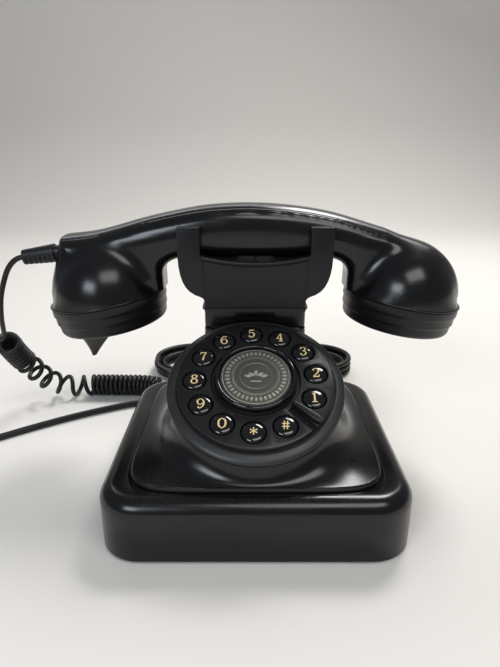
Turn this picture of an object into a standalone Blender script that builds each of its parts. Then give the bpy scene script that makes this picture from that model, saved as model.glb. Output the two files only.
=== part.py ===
"""Corded desk telephone whose twelve keys stand round a dial plate.

Metres, +Z up. The front faces -Y, and the origin is under the middle of the set, on the table.
"""

import math

import bmesh
import bpy
from mathutils import Matrix, Vector

# Clearance between touching pieces, and the sides of a large round piece.
GAP = 0.0003
SIDES = 36

# Plinth, pedestal and neck: one housing, open below.
BASE_FRONT = -0.0704
BASE_DEPTH = 0.138
BASE_REAR = BASE_FRONT + BASE_DEPTH
BASE_HALF_WIDTH = 0.0765
BASE_CORNER = 0.021
BASE_BOTTOM = 0.0012
SHOULDER = 0.008
PLINTH_TOP = 0.034
WALL = 0.0025
PANEL_HALF_WIDTH = 0.0630
PANEL_FRONT = BASE_FRONT + 0.0090
PANEL_REAR = BASE_FRONT + 0.129
PANEL_TOP = 0.037
NECK_HALF_WIDTH = 0.0295
NECK_FRONT = BASE_FRONT + 0.092
NECK_REAR = BASE_FRONT + 0.122
NECK_TOP = 0.0988
PLATE_TOP = 0.0032
PLATE_BOTTOM = 0.0018
FOOT_TOP = PLATE_BOTTOM - GAP
FOOT_X = 0.056
FOOT_Y = 0.052
SCREW_X = 0.060
SCREW_Y = 0.040

# The two sockets in the rear wall.
HANDSET_JACK_X = -0.045
LINE_JACK_X = -0.020
JACK_LOW = 0.0072
JACK_HIGH = 0.0162
JACK_DEPTH = 0.014

# Dial: its centre lies in the plane of the key tops, and the plane leans back from the table.
DIAL_CENTRE = Vector((0.0, BASE_FRONT + 0.0478, 0.0751))
DIAL_LEAN = math.radians(27.0)
BEZEL_RADIUS = 0.0461
BEZEL_UNDERSIDE = -0.0085
WELL_RADIUS = 0.0382
DIAL_PLATE_RADIUS = 0.0404
DIAL_PLATE_TOP = -0.0012
DIAL_PLATE_BOTTOM = -0.0045
PLAQUE_RADIUS = 0.0184
KEY_CIRCLE = 0.0313
KEY_RADIUS = 0.0058
KEY_HOLE_RADIUS = 0.0062
KEY_FOOT = -0.0092
KEY_STEP = math.radians(29.0)
KEY_FIRST = math.radians(112.2)
KEY_LABELS = ["1", "2", "3", "4", "5", "6", "7", "8", "9", "0", "star", "hash"]
STOP_ANGLE = math.radians(130.0)

# Handset: it lies along X, over the neck. The cups tilt towards each other.
HANDSET_Y = BASE_FRONT + 0.106
HANDLE_HALF_DEPTH = 0.015
HANDLE_UNDERSIDE = 0.1276
COVER_DEPTH = 0.0024
COVER_END = 0.074
CUP_X = 0.0868
CUP_Z = 0.1029
CUP_RADIUS = 0.0345
CUP_SQUEEZE = 0.93
CUP_TILT = math.radians(9.2)
CUP_WALL = 0.0026
DOME_HEIGHT = 0.0330
CUP_RIM = -0.0002

# Cradle: a front and a rear plate with horns, and the saddle that joins them.
CRADLE_HALF_DEPTH = 0.022
CRADLE_PLATE = 0.006
CRADLE_BOTTOM = NECK_TOP + GAP
HORN_TOP = 0.1455
HORN_OUTER = 0.0421
HORN_INNER = 0.0300
SADDLE_TOP = HANDLE_UNDERSIDE - GAP
PLUNGER_RADIUS = 0.0022

# Cords.
HANDSET_WIRE = 0.0032
CURL_DIAMETER = 0.0168
LINE_WIRE = 0.0045
HANK_HALF_LENGTH = 0.086
HANK_HALF_WIDTH = 0.029
HANK_WAIST = 0.012
HANK_HEIGHT = 0.0135
HANK_Y = BASE_FRONT + 0.229

# The strain relief leaves the mouthpiece end along the axis that this turn gives.
RELIEF_ROOT = Vector((-0.1098, HANDSET_Y, 0.1288))
RELIEF_TURN = (0, math.radians(-98), 0)
RELIEF_TIP = RELIEF_ROOT + Matrix.Rotation(RELIEF_TURN[1], 3, "Y") @ Vector((0, 0, 0.0250))

# The cords' routes: the handset's lead, curled length and tail, then the line cord before and after its hank.
LEAD_ROUTE = [RELIEF_TIP, (-0.1382, 0.0357, 0.1246), (-0.1430, 0.0362, 0.1210), (-0.1478, 0.0376, 0.1142),
              (-0.1536, 0.0398, 0.1010), (-0.1574, 0.0435, 0.0880), (-0.1612, 0.0505, 0.0760),
              (-0.1648, 0.0590, 0.0655)]
CURL_ROUTE = [(-0.1650, 0.0595, 0.0650), (-0.1655, 0.0720, 0.0500), (-0.1620, 0.0845, 0.0340),
              (-0.1555, 0.0965, 0.0180), (-0.1430, 0.1050, 0.0093), (-0.1250, 0.1075, 0.0087),
              (-0.1050, 0.1072, 0.0087), (-0.0860, 0.1062, 0.0087), (-0.0700, 0.1010, 0.0087)]
TAIL_ROUTE = [(-0.0697, 0.1008, 0.0087), (-0.0610, 0.0975, 0.0092), (-0.0530, 0.0935, 0.0104),
              (-0.0470, 0.0885, 0.0114), (HANDSET_JACK_X, BASE_REAR + 0.0165, 0.0117),
              (HANDSET_JACK_X, BASE_REAR + 0.0124, 0.0117)]
START_ROUTE = [(LINE_JACK_X, BASE_REAR + 0.0124, 0.0117), (LINE_JACK_X, BASE_REAR + 0.0165, 0.0115),
               (-0.0165, 0.0945, 0.0075), (-0.0060, 0.1060, 0.0035), (0.0120, 0.1165, 0.0024),
               (0.0320, 0.1250, 0.0024)]
LINE_ROUTE = [(-0.0400, 0.1265, 0.0024), (-0.0330, 0.1200, 0.0024), (-0.0310, 0.1090, 0.0024),
              (-0.0360, 0.0985, 0.0024), (-0.0460, 0.0920, 0.0024), (-0.0570, 0.0895, 0.0024),
              (-0.0700, 0.0890, 0.0024), (-0.0880, 0.0885, 0.0024), (-0.1080, 0.0800, 0.0024),
              (-0.1300, 0.0680, 0.0024), (-0.1520, 0.0535, 0.0024), (-0.1750, 0.0365, 0.0024),
              (-0.1900, 0.0230, 0.0030)]

BLACK = (0.012, 0.012, 0.013)
for item in list(bpy.data.objects):
    bpy.data.objects.remove(item, do_unlink=True)
parts = bpy.data.collections.new("desk_telephone")
cutters = bpy.data.collections.new("cutters")
bpy.context.scene.collection.children.link(parts)
bpy.context.scene.collection.children.link(cutters)


# ---------------------------------------------------------------- tools of the bench

def material(name, colour, roughness, metallic=0.0):
    made = bpy.data.materials.new(name)
    made.use_nodes = True
    shader = made.node_tree.nodes["Principled BSDF"]
    shader.inputs["Base Color"].default_value = (*colour, 1.0)
    shader.inputs["Roughness"].default_value = roughness
    shader.inputs["Metallic"].default_value = metallic
    return made


def new_object(name, data, finish=None):
    """A part when it has a finish, and otherwise a cutter."""
    made = bpy.data.objects.new(name, data)
    if finish is None:
        cutters.objects.link(made)
        made.hide_render = True
        made.display_type = "WIRE"
    else:
        parts.objects.link(made)
        data.materials.append(material(name, *finish))
    return made


def mesh_from(shape, name):
    mesh = bpy.data.meshes.new(name)
    shape.to_mesh(mesh)
    shape.free()
    mesh.shade_smooth()
    mesh.set_sharp_from_angle(angle=math.radians(35))
    return mesh


def place(made, location=(0, 0, 0), rotation=(0, 0, 0), parent=None):
    made.location = location
    made.rotation_euler = rotation
    made.parent = parent
    return made


def bevel(made, width, segments=2, by_weight=False):
    edge = made.modifiers.new("edge", "BEVEL")
    edge.width = width
    edge.segments = segments
    edge.limit_method = "WEIGHT" if by_weight else "ANGLE"
    edge.angle_limit = math.radians(40)
    edge.use_clamp_overlap = False


def combine(made, other, operation, solver="EXACT"):
    step = made.modifiers.new(other.name, "BOOLEAN")
    step.operation = operation
    step.solver = solver
    step.object = other


def box(name, low, high, finish=None, edge=0.0):
    """A block between two corners, with its origin at its middle."""
    low, high = Vector(low), Vector(high)
    shape = bmesh.new()
    bmesh.ops.create_cube(shape, size=1.0)
    bmesh.ops.scale(shape, vec=high - low, verts=shape.verts)
    made = place(new_object(name, mesh_from(shape, name), finish), (low + high) / 2)
    if edge:
        bevel(made, edge)
    return made


def turned(name, profile, finish=None, sides=SIDES, closed=False):
    """A profile of (radius, height) points spun about Z. It runs down its outer side."""
    mesh = bpy.data.meshes.new(name)
    count = len(profile)
    joins = [(index, (index + 1) % count) for index in range(count if closed else count - 1)]
    mesh.from_pydata([(radius, 0.0, height) for radius, height in profile], joins, [])
    made = new_object(name, mesh, finish)
    spin = made.modifiers.new("spin", "SCREW")
    spin.axis = "Z"
    spin.angle = math.tau
    spin.steps = sides
    spin.render_steps = sides
    spin.use_merge_vertices = True
    spin.merge_threshold = 0.00001
    spin.use_smooth_shade = True
    return made


def rod(name, radius, low, high, finish=None, sides=20):
    return turned(name, [(0, high), (radius, high), (radius, low), (0, low)], finish, sides)


def prism(name, outline, thickness, finish=None, weigh_top=False):
    """A flat outline in XY with a thickness about Z, as a mesh that can be cut."""
    curve = bpy.data.curves.new(name, "CURVE")
    curve.dimensions = "2D"
    curve.fill_mode = "BOTH"
    curve.extrude = thickness / 2
    spline = curve.splines.new("POLY")
    spline.points.add(len(outline) - 1)
    for point, (x, y) in zip(spline.points, outline):
        point.co = (x, y, 0.0, 1.0)
    spline.use_cyclic_u = True
    blank = bpy.data.objects.new(name + "_outline", curve)
    cutters.objects.link(blank)
    graph = bpy.context.evaluated_depsgraph_get()
    filled = bpy.data.meshes.new_from_object(blank.evaluated_get(graph))
    bpy.data.objects.remove(blank, do_unlink=True)
    shape = bmesh.new()
    shape.from_mesh(filled)
    bmesh.ops.remove_doubles(shape, verts=shape.verts, dist=0.000001)
    bmesh.ops.dissolve_limit(shape, angle_limit=0.001, verts=shape.verts, edges=shape.edges)
    bmesh.ops.recalc_face_normals(shape, faces=shape.faces)
    if weigh_top:
        weight = shape.edges.layers.float.new("bevel_weight_edge")
        for edge in shape.edges:
            edge[weight] = float(all(corner.co.z > 0 for corner in edge.verts))
    return new_object(name, mesh_from(shape, name), finish)


def loft(name, rings, finish=None):
    """Rings of equal point counts, bottom to top, skinned and closed at both ends."""
    shape = bmesh.new()
    levels = [[shape.verts.new(point) for point in ring] for ring in rings]
    for lower, upper in zip(levels, levels[1:]):
        for index in range(len(lower)):
            after = (index + 1) % len(lower)
            shape.faces.new((lower[index], lower[after], upper[after], upper[index]))
    shape.faces.new(levels[0])
    shape.faces.new(levels[-1])
    bmesh.ops.recalc_face_normals(shape, faces=shape.faces)
    return new_object(name, mesh_from(shape, name), finish)


def smooth(points, spacing):
    """A Catmull-Rom curve through the points, cut into steps of about the spacing."""
    points = [Vector(point) for point in points]
    ends = [2 * points[0] - points[1], *points, 2 * points[-1] - points[-2]]
    path = [points[0]]
    for before, start, end, after in zip(ends, ends[1:], ends[2:], ends[3:]):
        steps = max(1, round((end - start).length / spacing))
        for step in range(1, steps + 1):
            t = step / steps
            path.append(0.5 * (2 * start + (end - before) * t
                               + (2 * before - 5 * start + 4 * end - after) * t ** 2
                               + (3 * start - before - 3 * end + after) * t ** 3))
    return path


def tube(name, route, diameter, finish, spacing):
    """A cord laid on a smooth curve through its route."""
    curve = bpy.data.curves.new(name, "CURVE")
    curve.dimensions = "3D"
    curve.bevel_depth = diameter / 2
    curve.bevel_resolution = 2
    curve.use_fill_caps = True
    path = smooth(route, spacing)
    spline = curve.splines.new("POLY")
    spline.points.add(len(path) - 1)
    for point, place_on_route in zip(spline.points, path):
        point.co = (*place_on_route, 1.0)
    return new_object(name, curve, finish)


def rounded_rectangle(half_width, front, rear, radius, arc_steps=5):
    corners = [(half_width - radius, rear - radius), (radius - half_width, rear - radius),
               (radius - half_width, front + radius), (half_width - radius, front + radius)]
    outline = []
    for quarter, (x, y) in enumerate(corners):
        for step in range(arc_steps + 1):
            angle = math.radians(90) * (quarter + step / arc_steps)
            outline.append((x + radius * math.cos(angle), y + radius * math.sin(angle)))
    return outline


def squircle(half_width, front, rear, height, power, count):
    """A level ring with rounded corners, one point for each equal angle."""
    half_depth = (rear - front) / 2
    ring = []
    for index in range(count):
        angle = math.tau * index / count
        across, along = math.cos(angle), math.sin(angle)
        reach = (abs(across / half_width) ** power + abs(along / half_depth) ** power) ** (-1 / power)
        ring.append(Vector((reach * across, (front + rear) / 2 + reach * along, height)))
    return ring


def dial_point(radius, angle, height):
    """A place on the dial. The angle runs clockwise from the top of the dial, seen from above."""
    local = Vector((radius * math.sin(angle), radius * math.cos(angle), height))
    return DIAL_CENTRE + Matrix.Rotation(DIAL_LEAN, 3, "X") @ local


# ---------------------------------------------------------------- base housing

def pedestal_rings(inset, count, levels):
    """From the panel's rounded rectangle to the round seat of the dial, drawn in like a bell."""
    panel = squircle(PANEL_HALF_WIDTH - inset, PANEL_FRONT + inset, PANEL_REAR - inset,
                     PANEL_TOP - inset, 7, count)
    seat_radius = BEZEL_RADIUS - 0.0016 - inset
    seat_height = BEZEL_UNDERSIDE - GAP - inset
    seat = [dial_point(seat_radius, math.radians(90) - math.tau * index / count, seat_height)
            for index in range(count)]
    rings = [[point - Vector((0, 0, 0.008)) for point in panel]]
    for level in range(levels + 1):
        t = level / levels
        ring = []
        for low, high in zip(panel, seat):
            elbow = Vector((high.x, high.y, low.z + 0.14 * (high.z - low.z)))
            ring.append((1 - t) ** 2 * low + 2 * t * (1 - t) * elbow + t ** 2 * high)
        rings.append(ring)
    return rings


def neck_rings(inset, count, levels):
    """The post under the cradle, spreading into the pedestal."""
    rings = []
    for level in range(levels + 1):
        t = level / levels
        spread = (1 - t) ** 3
        rings.append(squircle(NECK_HALF_WIDTH + 0.016 * spread - inset,
                              NECK_FRONT - 0.030 * spread + inset,
                              NECK_REAR + 0.006 * spread - inset,
                              PLINTH_TOP - 0.004 + t * (NECK_TOP - PLINTH_TOP + 0.004 - inset),
                              9, count))
    return rings


def plinth(name, inset, bottom, top, round_edge, finish=None):
    outline = rounded_rectangle(BASE_HALF_WIDTH - inset, BASE_FRONT + inset, BASE_REAR - inset,
                                BASE_CORNER - inset)
    made = place(prism(name, outline, top - bottom, finish, weigh_top=True), (0, 0, (top + bottom) / 2))
    bevel(made, round_edge, 3, by_weight=True)
    return made


def build_housing():
    housing = plinth("base_housing", 0.0, BASE_BOTTOM, PLINTH_TOP, SHOULDER, (BLACK, 0.22))
    combine(housing, loft("pedestal", pedestal_rings(0.0, 52, 6)), "UNION", "MANIFOLD")
    combine(housing, loft("neck", neck_rings(0.0, 32, 4)), "UNION", "MANIFOLD")
    lean = (DIAL_LEAN, 0, 0)
    seat = rod("dial_clearance", BEZEL_RADIUS + 0.0005, BEZEL_UNDERSIDE - GAP, 0.02, sides=SIDES)
    combine(housing, place(seat, DIAL_CENTRE, lean), "DIFFERENCE", "MANIFOLD")
    combine(housing, plinth("plinth_hollow", WALL, BASE_BOTTOM - 0.002, PLINTH_TOP - WALL, 0.006),
            "DIFFERENCE", "MANIFOLD")
    combine(housing, loft("pedestal_hollow", pedestal_rings(WALL, 28, 3)), "DIFFERENCE", "MANIFOLD")
    combine(housing, loft("neck_hollow", neck_rings(WALL, 16, 2)), "DIFFERENCE", "MANIFOLD")
    well = rod("dial_well", WELL_RADIUS, -0.024, 0.01, sides=SIDES)
    combine(housing, place(well, DIAL_CENTRE, lean), "DIFFERENCE", "MANIFOLD")
    plunger_hole = rod("plunger_hole", PLUNGER_RADIUS + GAP, 0.09, 0.102)
    combine(housing, place(plunger_hole, (0, HANDSET_Y, 0)), "DIFFERENCE", "MANIFOLD")
    for index, (x, y) in enumerate(corner_places(SCREW_X, SCREW_Y)):
        boss = rod(f"screw_boss_{index}", 0.0042, PLATE_TOP + GAP, PLINTH_TOP - 0.002, sides=16)
        combine(housing, place(boss, (x, y, 0)), "UNION", "MANIFOLD")
        bore = rod(f"screw_bore_{index}", 0.0017, BASE_BOTTOM - 0.002, 0.014, sides=16)
        combine(housing, place(bore, (x, y, 0)), "DIFFERENCE", "MANIFOLD")
    for index, x in enumerate((HANDSET_JACK_X, LINE_JACK_X)):
        window = box(f"jack_window_{index}", (x - 0.0043, BASE_REAR - 0.006, JACK_LOW + 0.0007),
                     (x + 0.0043, BASE_REAR + 0.004, JACK_HIGH - 0.0007))
        combine(housing, window, "DIFFERENCE", "MANIFOLD")


def corner_places(half_width, half_depth):
    middle = (BASE_FRONT + BASE_REAR) / 2
    return [(x, middle + y) for x in (-half_width, half_width) for y in (-half_depth, half_depth)]


# ---------------------------------------------------------------- underside and insides

def build_underside():
    inset = WALL + GAP
    outline = rounded_rectangle(BASE_HALF_WIDTH - inset, BASE_FRONT + inset, BASE_REAR - inset,
                                BASE_CORNER - inset)
    plate = prism("base_plate", outline, PLATE_TOP - PLATE_BOTTOM, (BLACK, 0.5))
    place(plate, (0, 0, (PLATE_TOP + PLATE_BOTTOM) / 2))
    for index, (x, y) in enumerate(corner_places(SCREW_X, SCREW_Y)):
        hole = rod(f"plate_hole_{index}", 0.0019, 0.0, 0.006, sides=16)
        combine(plate, place(hole, (x, y, 0)), "DIFFERENCE")
        profile = [(0, 0.012), (0.0014, 0.011), (0.0014, FOOT_TOP), (0.0030, FOOT_TOP),
                   (0.0030, 0.0009), (0.0022, 0.0005), (0, 0.0005)]
        screw = turned(f"base_screw_{index + 1}", profile, ((0.5, 0.5, 0.52), 0.35, 1.0), 16)
        place(screw, (x, y, 0))
    for index, (x, y) in enumerate(corner_places(FOOT_X, FOOT_Y)):
        profile = [(0, FOOT_TOP), (0.0070, FOOT_TOP), (0.0070, 0.0004), (0.0066, 0.0), (0, 0.0)]
        place(turned(f"foot_{index + 1}", profile, ((0.02, 0.02, 0.02), 0.8), 24), (x, y, 0))


def build_insides():
    floor = PLATE_TOP + GAP
    box("ballast_weight", (-0.045, -0.052, floor), (0.045, -0.012, floor + 0.006),
        ((0.35, 0.35, 0.36), 0.5, 1.0), 0.0008)
    box("main_board", (-0.053, 0.010, floor + 0.0012), (0.014, 0.0600, floor + 0.0028),
        ((0.02, 0.16, 0.06), 0.5))
    ringer = turned("ringer_speaker", [(0, 0.010), (0.010, 0.010), (0.011, 0.006), (0.016, 0.004),
                                       (0.016, 0), (0, 0)], ((0.3, 0.3, 0.3), 0.4, 0.8), 28)
    place(ringer, (0.036, 0.034, floor))
    for name, x in (("handset_jack", HANDSET_JACK_X), ("line_jack", LINE_JACK_X)):
        jack = box(name, (x - 0.0062, BASE_REAR - WALL - 0.0008 - JACK_DEPTH, JACK_LOW),
                   (x + 0.0062, BASE_REAR - WALL - 0.0008, JACK_HIGH), ((0.03, 0.03, 0.03), 0.5))
        socket = box(name + "_socket", (x - 0.0042, BASE_REAR - 0.0145, JACK_LOW + 0.0008),
                     (x + 0.0042, BASE_REAR + 0.001, JACK_HIGH - 0.0008))
        combine(jack, socket, "DIFFERENCE")
    box("hook_switch", (-0.010, HANDSET_Y - 0.006, 0.0775), (0.010, HANDSET_Y + 0.006, 0.0895),
        ((0.05, 0.05, 0.05), 0.5), 0.0006)


# ---------------------------------------------------------------- dial

def build_dial():
    dial = bpy.data.objects.new("dial_axis", None)
    parts.objects.link(dial)
    place(dial, DIAL_CENTRE, (DIAL_LEAN, 0, 0))
    under = DIAL_PLATE_BOTTOM - GAP
    bezel = [(BEZEL_RADIUS - 0.0004, -0.0056), (BEZEL_RADIUS, -0.0062),
             (BEZEL_RADIUS, BEZEL_UNDERSIDE + 0.0004), (BEZEL_RADIUS - 0.0004, BEZEL_UNDERSIDE),
             (WELL_RADIUS, BEZEL_UNDERSIDE),
             (WELL_RADIUS, under), (DIAL_PLATE_RADIUS + GAP, under), (0.0416, -0.0042)]
    place(turned("dial_bezel", bezel, ((0.03, 0.03, 0.032), 0.32), 48, closed=True), parent=dial)

    face = [(0, DIAL_PLATE_TOP), (0.0209, DIAL_PLATE_TOP), (0.0213, DIAL_PLATE_TOP - 0.0014),
            (0.0228, DIAL_PLATE_TOP - 0.0014), (0.0232, DIAL_PLATE_TOP),
            (DIAL_PLATE_RADIUS - 0.0008, DIAL_PLATE_TOP), (DIAL_PLATE_RADIUS, DIAL_PLATE_TOP - 0.0008),
            (DIAL_PLATE_RADIUS, DIAL_PLATE_BOTTOM), (0, DIAL_PLATE_BOTTOM)]
    plate = place(turned("dial_plate", face, (BLACK, 0.3), 48), parent=dial)
    place(rod("plaque_boss", 0.0200, -0.0148, DIAL_PLATE_TOP - 0.0004, sides=24), parent=dial)
    slot = box("stop_channel", (-0.0016, 0.0246, DIAL_PLATE_TOP - 0.0018), (0.0016, 0.0425, 0.002))
    turn = Matrix.Rotation(-(STOP_ANGLE + math.radians(6.5)), 4, "Z")
    slot.matrix_basis = turn @ slot.matrix_basis
    slot.parent = dial
    combine(plate, slot, "DIFFERENCE")

    stop_outline = [(-0.0011, 0.0236), (0.0011, 0.0236), (0.0020, 0.0380), (0.0013, 0.0412),
                    (-0.0013, 0.0412), (-0.0020, 0.0380)]
    stop = prism("finger_stop", stop_outline, 0.0026, (BLACK, 0.28))
    place(stop, (0, 0, DIAL_PLATE_TOP + GAP + 0.0013), (0, 0, -STOP_ANGLE), dial)
    bevel(stop, 0.0006)

    ring_low = DIAL_PLATE_TOP + GAP
    rim = [(0.0196, 0.0029), (0.0203, 0.0028), (0.0208, 0.0020), (0.0208, ring_low),
           (PLAQUE_RADIUS + GAP, ring_low), (PLAQUE_RADIUS + GAP, 0.0021)]
    place(turned("plaque_ring", rim, ((0.02, 0.02, 0.02), 0.15), SIDES, closed=True), parent=dial)
    disc = [(0, 0.0024), (0.0160, 0.0021), (PLAQUE_RADIUS - 0.0004, 0.0018), (PLAQUE_RADIUS, 0.0014),
            (PLAQUE_RADIUS, ring_low), (0, ring_low)]
    place(turned("centre_plaque", disc, ((0.19, 0.19, 0.15), 0.45, 0.9), SIDES), parent=dial)
    for name, low, high, colour in (("keypad_membrane", -0.0134, -0.0116, (0.5, 0.5, 0.5)),
                                    ("keypad_board", -0.0153, -0.0137, (0.02, 0.16, 0.06))):
        place(rod(name, WELL_RADIUS - 0.0006, low, high, (colour, 0.6), 40), parent=dial)

    cap = [(0, -0.0001), (0.0026, -0.0002), (0.0046, -0.0006), (0.0055, -0.0010), (KEY_RADIUS, -0.0016),
           (KEY_RADIUS, KEY_FOOT), (0, KEY_FOOT)]
    for index, label in enumerate(KEY_LABELS):
        angle = KEY_FIRST - KEY_STEP * index
        seat = (KEY_CIRCLE * math.sin(angle), KEY_CIRCLE * math.cos(angle), 0)
        hole = rod("hole_" + label, KEY_HOLE_RADIUS, -0.008, 0.004, sides=20)
        combine(plate, place(hole, seat, parent=dial), "DIFFERENCE")
        place(turned("key_" + label, cap, (BLACK, 0.12), 20), seat, parent=dial)


# ---------------------------------------------------------------- cradle

def build_cradle():
    """The front and rear plates share one outline, and the handle's channel is cut between them."""
    half = [(0.0283, CRADLE_BOTTOM), (0.0281, 0.1026), (0.0290, 0.1068), (0.0340, 0.1088),
            (0.0388, 0.1138), (0.0414, 0.1212), (HORN_OUTER, 0.1304), (HORN_OUTER, HORN_TOP),
            (HORN_INNER, HORN_TOP), (HORN_INNER, 0.1304), (0.0150, 0.1284)]
    outline = half + [(-x, z) for x, z in reversed(half)]
    cradle = prism("cradle", outline, 2 * CRADLE_HALF_DEPTH, (BLACK, 0.32))
    place(cradle, (0, HANDSET_Y, 0), (math.radians(90), 0, 0))
    bevel(cradle, 0.0007, 2)
    channel = CRADLE_HALF_DEPTH - CRADLE_PLATE
    wide = box("handle_channel", (-0.060, HANDSET_Y - channel, SADDLE_TOP),
               (0.060, HANDSET_Y + channel, 0.16))
    combine(cradle, wide, "DIFFERENCE")
    for side in (-1, 1):
        low, high = sorted((side * 0.0310, side * 0.060))
        end = box(f"channel_end_{side + 1}", (low, HANDSET_Y - channel, 0.1215),
                  (high, HANDSET_Y + channel, 0.15))
        combine(cradle, end, "DIFFERENCE")
    hole = rod("cradle_hole", PLUNGER_RADIUS + GAP, 0.09, 0.14)
    combine(cradle, place(hole, (0, HANDSET_Y, 0)), "DIFFERENCE")
    top = SADDLE_TOP - 0.0002
    profile = [(0, top), (0.0016, top), (PLUNGER_RADIUS, top - 0.0007), (PLUNGER_RADIUS, 0.0898), (0, 0.0898)]
    place(turned("hook_plunger", profile, ((0.03, 0.03, 0.03), 0.35), 20), (0, HANDSET_Y, 0))


# ---------------------------------------------------------------- handset

def handset_top():
    """The back of the handle from the mouthpiece end to the earpiece cup."""
    return smooth([(-0.1085, 0.1385), (-0.0880, 0.1413), (-0.0560, 0.1497), (-0.0240, 0.1553),
                   (0.0085, 0.1558), (0.0410, 0.1516), (COVER_END, 0.1422)], 0.008)


def ring_height(x):
    """Height of a cup's rim plane under a place on the handset's axis."""
    return CUP_Z - (abs(x) - CUP_X) * math.tan(CUP_TILT)


def arch_outline():
    """Side view of the lower shell, without the round of the cups."""
    split = [(point.x, point.y - COVER_DEPTH) for point in handset_top()]
    below = 0.006
    left = [(-0.1185, ring_height(0.1185) - below), (-0.1152, 0.1150), (-0.1120, 0.1290), (-0.1106, 0.1352)]
    crest = [(COVER_END, split[-1][1] + COVER_DEPTH), (0.0850, 0.1372)]
    reach = CUP_RADIUS - 0.0025
    arc = []
    for degrees in range(76, -1, -12):
        angle = math.radians(degrees)
        arc.append((CUP_X + reach * math.cos(angle), CUP_Z + 0.97 * reach * math.sin(angle)))
    arc.append((CUP_X + reach, ring_height(CUP_X + reach) - below))
    under = [(0.0525, ring_height(0.0525) - below), (0.0527, 0.1180), (0.0515, 0.1215), (0.0480, 0.1247),
             (0.0420, 0.1268), (0.0360, HANDLE_UNDERSIDE)]
    return left + split + crest + arc + under + [(-x, z) for x, z in reversed(under)]


def cup(name, side, profile, finish=None, sides=SIDES, closed=False):
    """A turned piece on a cup's axis. Height 0 is the rim plane, and up is into the handle."""
    made = turned(name, profile, finish, sides, closed)
    return place(made, (side * CUP_X, HANDSET_Y, CUP_Z), (0, side * CUP_TILT, 0))


def dome(radius, height, skirt, steps=7):
    """A half ball, a little flattened, on a short skirt."""
    angles = [math.radians(90) * step / steps for step in range(steps + 1)]
    arc = [(radius * math.sin(angle), height * math.cos(angle)) for angle in angles]
    arc[0] = (0, height)
    return arc + [(radius, -skirt), (0, -skirt)]


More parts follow.
